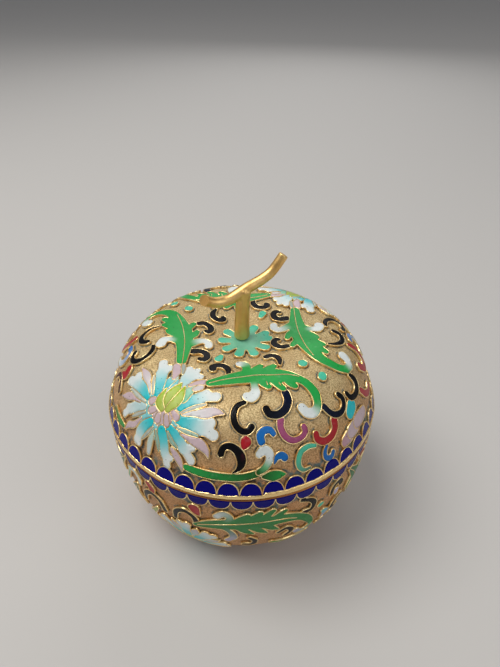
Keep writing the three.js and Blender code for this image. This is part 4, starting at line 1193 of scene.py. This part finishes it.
# ---------------------------------------------------------------- the brass twig
BRANCH_BEARING = math.radians(25)
CROOK = [(-12.4, 37, 1.5), (-10.3, 35.4, 1.5), (-7.8, 34.2, 1.5), (-5.1, 33.9, 1.52), (-2.7, 34.4, 1.6),
         (0.1, 35.6, 1.66), (2, 36.5, 1.6), (4, 37.2, 1.55), (6, 38, 1.5), (8, 39.1, 1.45), (9.6, 40.6, 1.42),
         (11, 42.4, 1.4), (12.2, 44, 1.38)]
CUT_NORMAL = Vector((-0.52, -0.62, 0.6)).normalized()
CUT_SHARE = 0.08
KNOT_LEAN = Vector((0.6, -1.05, 0.25))
STEM_TOP_Z = SEAM_Z + 36
STEM_RADIUS = 1.88
STEM_LEAN = 0.55
TWIG_SIDES = 28
CAST_GRAIN = 0.2
GRAIN_DEPTH = 0.02


def add_tube(build, points, radii, around):
    """Adds a closed tube through the points."""
    p = np.array(points, float)
    along = np.gradient(p, axis=0)
    along /= np.linalg.norm(along, axis=1)[:, None]
    level = np.cross(along, (0, 0, 1) if abs(along[0, 2]) < 0.8 else (1, 0, 0))
    level /= np.linalg.norm(level, axis=1)[:, None]
    upright = np.cross(level, along)
    t = np.linspace(0, 2 * math.pi, around, endpoint=False)
    rings = (p[:, None] + np.asarray(radii)[:, None, None]
             * (np.cos(t)[None, :, None] * level[:, None] + np.sin(t)[None, :, None] * upright[:, None]))
    build.add(rings.reshape(-1, 3), ring_quads(len(p), around, False))
    ends = np.arange(build.count - rings.size // 3, build.count).reshape(len(p), around)[[0, -1]]
    build.faces += [ends[:1, ::-1], ends[1:]]


def twig():
    """Stem, branch and knot cast in one: merged, softened and cut slanting across one end."""
    build = Build()
    path = smooth_path([(a * math.cos(BRANCH_BEARING), a * math.sin(BRANCH_BEARING), SEAM_Z + h, r)
                        for a, h, r in CROOK], 0.5)
    spine, radius = path[:, :3], path[:, 3]
    add_tube(build, spine, radius, TWIG_SIDES)
    base = LID_CENTRE_Z + RELIEF + SEAM_GAP
    rise = np.linspace(0, 1, 24)
    lean = STEM_LEAN * np.clip((rise - 0.25) / 0.75, 0, 1) ** 1.4
    stem = np.column_stack([lean * math.cos(BRANCH_BEARING), lean * math.sin(BRANCH_BEARING),
                            base + rise * (STEM_TOP_Z - base)])
    girth = STEM_RADIUS + 0.38 * (1 - rise) ** 1.5 + 0.16 * rise ** 6
    girth[0] -= 0.12
    add_tube(build, stem, girth, TWIG_SIDES)
    knot = [Vector(spine[len(spine) // 2]) + KNOT_LEAN * k for k in (0.2, 0.8, 1.3, 1.6)]
    add_tube(build, knot, [1.1, 1.0, 0.8, 0.4], 16)
    obj = build.piece("brass_twig", "twig_brass", ["twig_handle"])
    mould = obj.modifiers.new("cast", "REMESH")
    mould.mode = "VOXEL"
    mould.voxel_size = CAST_GRAIN * MM
    soft = obj.modifiers.new("soften", "SMOOTH")
    soft.factor = 0.5
    soft.iterations = 6
    bpy.context.view_layer.update()
    cast = bpy.data.meshes.new_from_object(obj.evaluated_get(bpy.context.evaluated_depsgraph_get()))
    obj.modifiers.clear()
    bm = bmesh.new()
    bm.from_mesh(cast)
    at = path[int(CUT_SHARE * len(path)), :3] * MM
    cut = bmesh.ops.bisect_plane(bm, geom=bm.verts[:] + bm.edges[:] + bm.faces[:],
                                 dist=1e-7, plane_co=Vector(at),
                                 plane_no=CUT_NORMAL, clear_outer=True)
    rim = [e for e in cut["geom_cut"] if isinstance(e, bmesh.types.BMEdge)]
    bmesh.ops.holes_fill(bm, edges=rim, sides=0)
    for v in bm.verts:
        x, y, z = v.co / MM
        grain = math.sin(x * 1.1 + z * 0.4) * math.sin(z * 0.9 + y * 1.3)
        v.co += v.normal * GRAIN_DEPTH * (grain - 1) * MM
    bm.to_mesh(cast)
    bm.free()
    for polygon in cast.polygons:
        polygon.use_smooth = len(polygon.vertices) < 8
    obj.data = cast
    return obj


brass_twig = twig()


# ---------------------------------------------------------------- materials
class Nodes:
    """Short hands for a material's node tree."""

    def __init__(self, name):
        self.material = bpy.data.materials.new(name)
        self.material.use_nodes = True
        self.tree = self.material.node_tree
        self.tree.nodes.clear()
        self.shader = self.tree.nodes.new("ShaderNodeBsdfPrincipled")
        out = self.tree.nodes.new("ShaderNodeOutputMaterial")
        self.tree.links.new(self.shader.outputs[0], out.inputs["Surface"])
        self.place = self.tree.nodes.new("ShaderNodeTexCoord").outputs["Object"]

    def wire(self, a, b):
        self.tree.links.new(a, b)

    def feed(self, value, socket):
        """Gives a socket a number, a colour or another node's output."""
        if isinstance(value, (int, float)):
            socket.default_value = value
        elif isinstance(value, (tuple, list, np.ndarray)):
            socket.default_value = (*[float(v) for v in value[:3]], 1)
        else:
            self.wire(value, socket)

    def noise(self, scale, detail=3.0, rough=0.55, stretch=None):
        node = self.tree.nodes.new("ShaderNodeTexNoise")
        node.inputs["Scale"].default_value = scale
        node.inputs["Detail"].default_value = detail
        node.inputs["Roughness"].default_value = rough
        if stretch:
            mapping = self.tree.nodes.new("ShaderNodeMapping")
            mapping.inputs["Scale"].default_value = stretch
            self.wire(self.place, mapping.inputs["Vector"])
            self.wire(mapping.outputs[0], node.inputs["Vector"])
        else:
            self.wire(self.place, node.inputs["Vector"])
        return node.outputs["Fac"]

    def span(self, value, low, high, to_low=0.0, to_high=1.0):
        node = self.tree.nodes.new("ShaderNodeMapRange")
        node.clamp = True
        for key, number in (("From Min", low), ("From Max", high), ("To Min", to_low), ("To Max", to_high)):
            node.inputs[key].default_value = number
        self.wire(value, node.inputs["Value"])
        return node.outputs["Result"]

    def math(self, how, a, b):
        node = self.tree.nodes.new("ShaderNodeMath")
        node.operation = how
        for socket, value in zip(node.inputs, (a, b)):
            self.feed(value, socket)
        return node.outputs[0]

    def mix(self, factor, a, b, how="MIX"):
        node = self.tree.nodes.new("ShaderNodeMix")
        node.data_type = "RGBA"
        node.blend_type = how
        for key, value in (("Factor", factor), ("A", a), ("B", b)):
            self.feed(value, next(s for s in node.inputs if s.name == key and s.enabled
                                  and (key == "Factor") == (s.type == "VALUE")))
        return next(s for s in node.outputs if s.type == "RGBA" and s.enabled)

    def attribute(self, name):
        node = self.tree.nodes.new("ShaderNodeAttribute")
        node.attribute_name = name
        return node.outputs["Color"]

    def split(self, colour):
        node = self.tree.nodes.new("ShaderNodeSeparateColor")
        self.wire(colour, node.inputs[0])
        return node.outputs

    def bump(self, height, distance, strength=1.0):
        node = self.tree.nodes.new("ShaderNodeBump")
        node.inputs["Distance"].default_value = distance
        node.inputs["Strength"].default_value = strength
        self.wire(height, node.inputs["Height"])
        self.wire(node.outputs[0], self.shader.inputs["Normal"])

    def set(self, **values):
        for key, value in values.items():
            self.feed(value, self.shader.inputs[key.replace("_", " ")])


# The tint of the browning and painted warm reflection lower down on the ground.
BROWNING_AND_REFLECTION_TINT = (1.0, 0.64, 0.54)


def gilt_ground():
    """Matte sandy gilding, browner in its pits, browner lower down (browning and a painted warm reflection),
    darkened along the wires by dirt and painted shade, bluish-grey in places and dark brown in others.
    """
    m = Nodes("gilt_ground")
    sand = m.noise(2600, 3, 0.6)
    cloud = m.noise(190, 3)
    gold = m.mix(m.span(sand, 0.32, 0.62), linear((150, 124, 78)), linear((232, 208, 156)))
    gold = m.mix(m.span(cloud, 0.35, 0.7, 0.0, 0.4), gold, linear((172, 136, 88)))
    near, low, _ = m.split(m.attribute("tint"))
    # low carries the browning and painted warm reflection, stronger lower down.
    gold = m.mix(low, gold, m.mix(1.0, gold, BROWNING_AND_REFLECTION_TINT, "MULTIPLY"))
    # near carries the dirt and painted shade at the wires' feet and above the scallops' heads.
    patchy = m.math("MULTIPLY", near, m.span(m.noise(620, 4, 0.65), 0.36, 0.62, 0.25, 1.15))
    dirt_and_shade = m.span(patchy, 0.24, 0.74)
    colour = m.mix(dirt_and_shade, gold, m.mix(m.span(cloud, 0.36, 0.52), linear((50, 44, 38)), linear((88, 106, 106))))
    m.set(Base_Color=colour, Metallic=m.span(dirt_and_shade, 0, 1, 0.5, 0.0),
          Roughness=m.span(sand, 0.3, 0.7, 0.66, 0.5))
    m.bump(sand, 0.00012, 0.55)
    return m.material


def polished_gilt(name, light, dark, rough, metal):
    """Rubbed gilding in two tones, with fine scuffs, some of them brown."""
    m = Nodes(name)
    scuff = m.noise(900, 4, 0.65, (1, 1, 3))
    cloud = m.noise(120, 3)
    gold = m.mix(m.span(cloud, 0.35, 0.7), linear(light), linear(dark))
    gold = m.mix(m.span(scuff, 0.58, 0.75, 0.0, 0.6), gold, linear((136, 88, 44)))
    m.set(Base_Color=gold, Metallic=metal, Roughness=m.span(scuff, 0.3, 0.7, rough, rough + 0.16))
    m.bump(scuff, 0.00004, 0.4)
    return m.material


def wire_gilt():
    """The tops of the wires, rubbed bright, with brown left here and there."""
    m = Nodes("gilt_wire")
    cloud = m.noise(260, 3)
    fine = m.noise(1800, 2)
    gold = m.mix(m.span(cloud, 0.4, 0.68), linear((250, 226, 168)), linear((228, 184, 116)))
    gold = m.mix(m.span(fine, 0.6, 0.74, 0.0, 0.4), gold, linear((150, 98, 52)))
    m.set(Base_Color=gold, Metallic=1.0, Roughness=m.span(fine, 0.35, 0.65, 0.26, 0.4))
    return m.material


def brass():
    """Satin cast brass, lightly brushed, with browner streaks."""
    m = Nodes("twig_brass")
    brushed = m.noise(700, 4, 0.6, (1, 1, 0.35))
    cloud = m.noise(150, 3)
    gold = m.mix(m.span(cloud, 0.35, 0.68), linear((246, 208, 138)), linear((226, 176, 102)))
    gold = m.mix(m.span(brushed, 0.56, 0.76, 0.0, 0.3), gold, linear((150, 98, 46)))
    m.set(Base_Color=gold, Metallic=1.0, Roughness=m.span(brushed, 0.3, 0.7, 0.36, 0.5))
    m.bump(brushed, 0.00005, 0.5)
    return m.material


def enamel(name, speck, cloudy, rough, shine=0.36):
    """Opaque ground and polished enamel: its tint is in the mesh, with clouding, pits and specks."""
    m = Nodes(name)
    tint = m.attribute("tint")
    cloud = m.noise(300, 4, 0.6)
    colour = m.mix(m.span(cloud, 0.3, 0.72, 0.0, cloudy), tint, m.mix(1.0, tint, (0.62, 0.66, 0.7),
                                                                      "MULTIPLY"))
    colour = m.mix(m.span(m.noise(520, 2), 0.6, 0.78, 0.0, cloudy * 0.5),
                   colour, m.mix(0.25, tint, (1, 1, 1)))
    pits = m.span(m.noise(1500, 1), 0.725, 0.76)
    colour = m.mix(m.math("MULTIPLY", pits, speck), colour, linear((38, 30, 26)))
    m.set(Base_Color=colour, Roughness=m.span(cloud, 0.3, 0.7, rough, rough + 0.14), Specular_IOR_Level=shine)
    m.bump(cloud, 0.00004, 0.35)
    return m.material


def counter_enamel():
    """The plain turquoise-blue enamel inside and underneath, with tiny pits."""
    m = Nodes("counter_enamel")
    cloud = m.noise(140, 4, 0.6)
    pits = m.span(m.noise(1100, 1), 0.7, 0.74)
    colour = m.mix(m.span(cloud, 0.3, 0.7), linear((40, 134, 158)), linear((66, 166, 184)))
    colour = m.mix(m.math("MULTIPLY", pits, 0.8), colour, linear((30, 40, 44)))
    m.set(Base_Color=colour, Roughness=m.span(cloud, 0.3, 0.7, 0.2, 0.34))
    m.bump(cloud, 0.0001, 0.3)
    return m.material


GROUND_GILT = gilt_ground()
COUNTER = counter_enamel()


def coat(obj, rows, bands):
    """Gilt all over, with counter-enamel between the given points of the turned section."""
    obj.data.materials.append(GROUND_GILT)
    obj.data.materials.append(COUNTER)
    which = np.tile(np.arange(rows), GROUND_TURNS)
    marks = np.zeros(len(which), np.int32)
    for first, last in bands:
        marks |= ((which >= first) & (which < last)).astype(np.int32)
    obj.data.polygons.foreach_set("material_index", marks)


coat(lid_ground, RUNS + len(lid_inner), [(RUNS, RUNS + len(lid_inner) - 1)])
floor_end = RUNS + len(bowl_inner) + 1
coat(bowl_ground, RUNS + len(bowl_rest), [(RUNS, floor_end), (floor_end + 1, floor_end + 2)])
WIRE = wire_gilt()
LID_GILT = polished_gilt("lid_gilt", (252, 224, 162), (240, 198, 126), 0.18, 0.75)
# The bowl's rim gilt made darker and browner than the lid's: painted shade and a painted brown reflection.
BOWL_GILT_PAINTED_SHADE = polished_gilt("bowl_gilt", (180, 122, 66), (128, 78, 42), 0.3, 1.0)
ENAMELS = {"cobalt": enamel("enamel_cobalt", 0.1, 0.03, 0.14, 0.08),
           "black": enamel("enamel_black", 0.2, 0.03, 0.24, 0.12),
           "leaves": enamel("enamel_green", 0.9, 0.5, 0.28)}
PLAIN_ENAMEL = enamel("enamel_pale", 0.6, 0.35, 0.3)
for obj in lid_pieces + bowl_pieces:
    family = obj.name.split("_")[1]
    obj.data.materials.append(WIRE if family == "wires" else ENAMELS.get(family, PLAIN_ENAMEL))
lid_rim.data.materials.append(LID_GILT)
bowl_rim.data.materials.append(BOWL_GILT_PAINTED_SHADE)
brass_twig.data.materials.append(brass())


# ---------------------------------------------------------------- floor, light and camera
FLOOR_REACH = 4.0
FLOOR_GAP = 0.00002
CAMERA_PLACE = (0.00228, -0.11697, 0.1519)
CAMERA_FORWARD = (0, 0.7954, -0.6061)
CAMERA_RIGHT = (0.99996, 0.0055, 0.0072)
SENSOR = 36
LENS_SHARE = 520 / 667
AIM = (0, 0, 0.04)


def floor():
    """A plain pale floor under the foot."""
    mesh = bpy.data.meshes.new("floor")
    r = FLOOR_REACH
    mesh.from_pydata([(-r, -r, 0), (r, -r, 0), (r, r, 0), (-r, r, 0)], [], [(0, 1, 2, 3)])
    obj = bpy.data.objects.new("floor", mesh)
    bpy.context.scene.collection.objects.link(obj)
    obj.location.z = cad_box[0].z - FLOOR_GAP
    m = Nodes("floor")
    m.set(Base_Color=linear((196, 193, 189)), Roughness=0.8)
    mesh.materials.append(m.material)


def area_light(name, place, size, power, colour=(1, 1, 1)):
    """A soft round lamp turned towards the middle of the box."""
    data = bpy.data.lights.new(name, "AREA")
    data.shape = "DISK"
    data.size = size
    data.energy = power
    data.color = colour
    obj = bpy.data.objects.new(name, data)
    obj.location = place
    obj.rotation_euler = (Vector(AIM) - Vector(place)).to_track_quat("-Z", "Y").to_euler()
    bpy.context.scene.collection.objects.link(obj)


def world():
    """Even, faintly cool light from all round."""
    made = bpy.data.worlds.new("studio")
    made.use_nodes = True
    background = made.node_tree.nodes["Background"]
    background.inputs["Color"].default_value = (0.93, 0.95, 1.0, 1)
    background.inputs["Strength"].default_value = 0.24
    bpy.context.scene.world = made


def camera():
    """Level across, looking down at the lid from the front."""
    data = bpy.data.cameras.new("camera")
    data.sensor_width = SENSOR
    data.lens = LENS_SHARE * SENSOR
    data.clip_start = 0.005
    data.clip_end = 20
    obj = bpy.data.objects.new("camera", data)
    forward = Vector(CAMERA_FORWARD).normalized()
    right = Vector(CAMERA_RIGHT).normalized()
    up = right.cross(forward).normalized()
    right = forward.cross(up)
    obj.matrix_world = Matrix.Translation(CAMERA_PLACE) @ Matrix(
        (right, up, -forward)).transposed().to_4x4()
    bpy.context.scene.collection.objects.link(obj)
    bpy.context.scene.camera = obj


floor()
world()
camera()
area_light("key", (-0.36, -0.02, 0.8), 0.6, 5.4, (1, 0.98, 0.95))
area_light("fill", (0.5, -0.35, 0.5), 0.7, 1.3)
area_light("back", (0.1, 0.7, 0.45), 0.6, 1.0)
bpy.context.scene.view_settings.view_transform = "Standard"
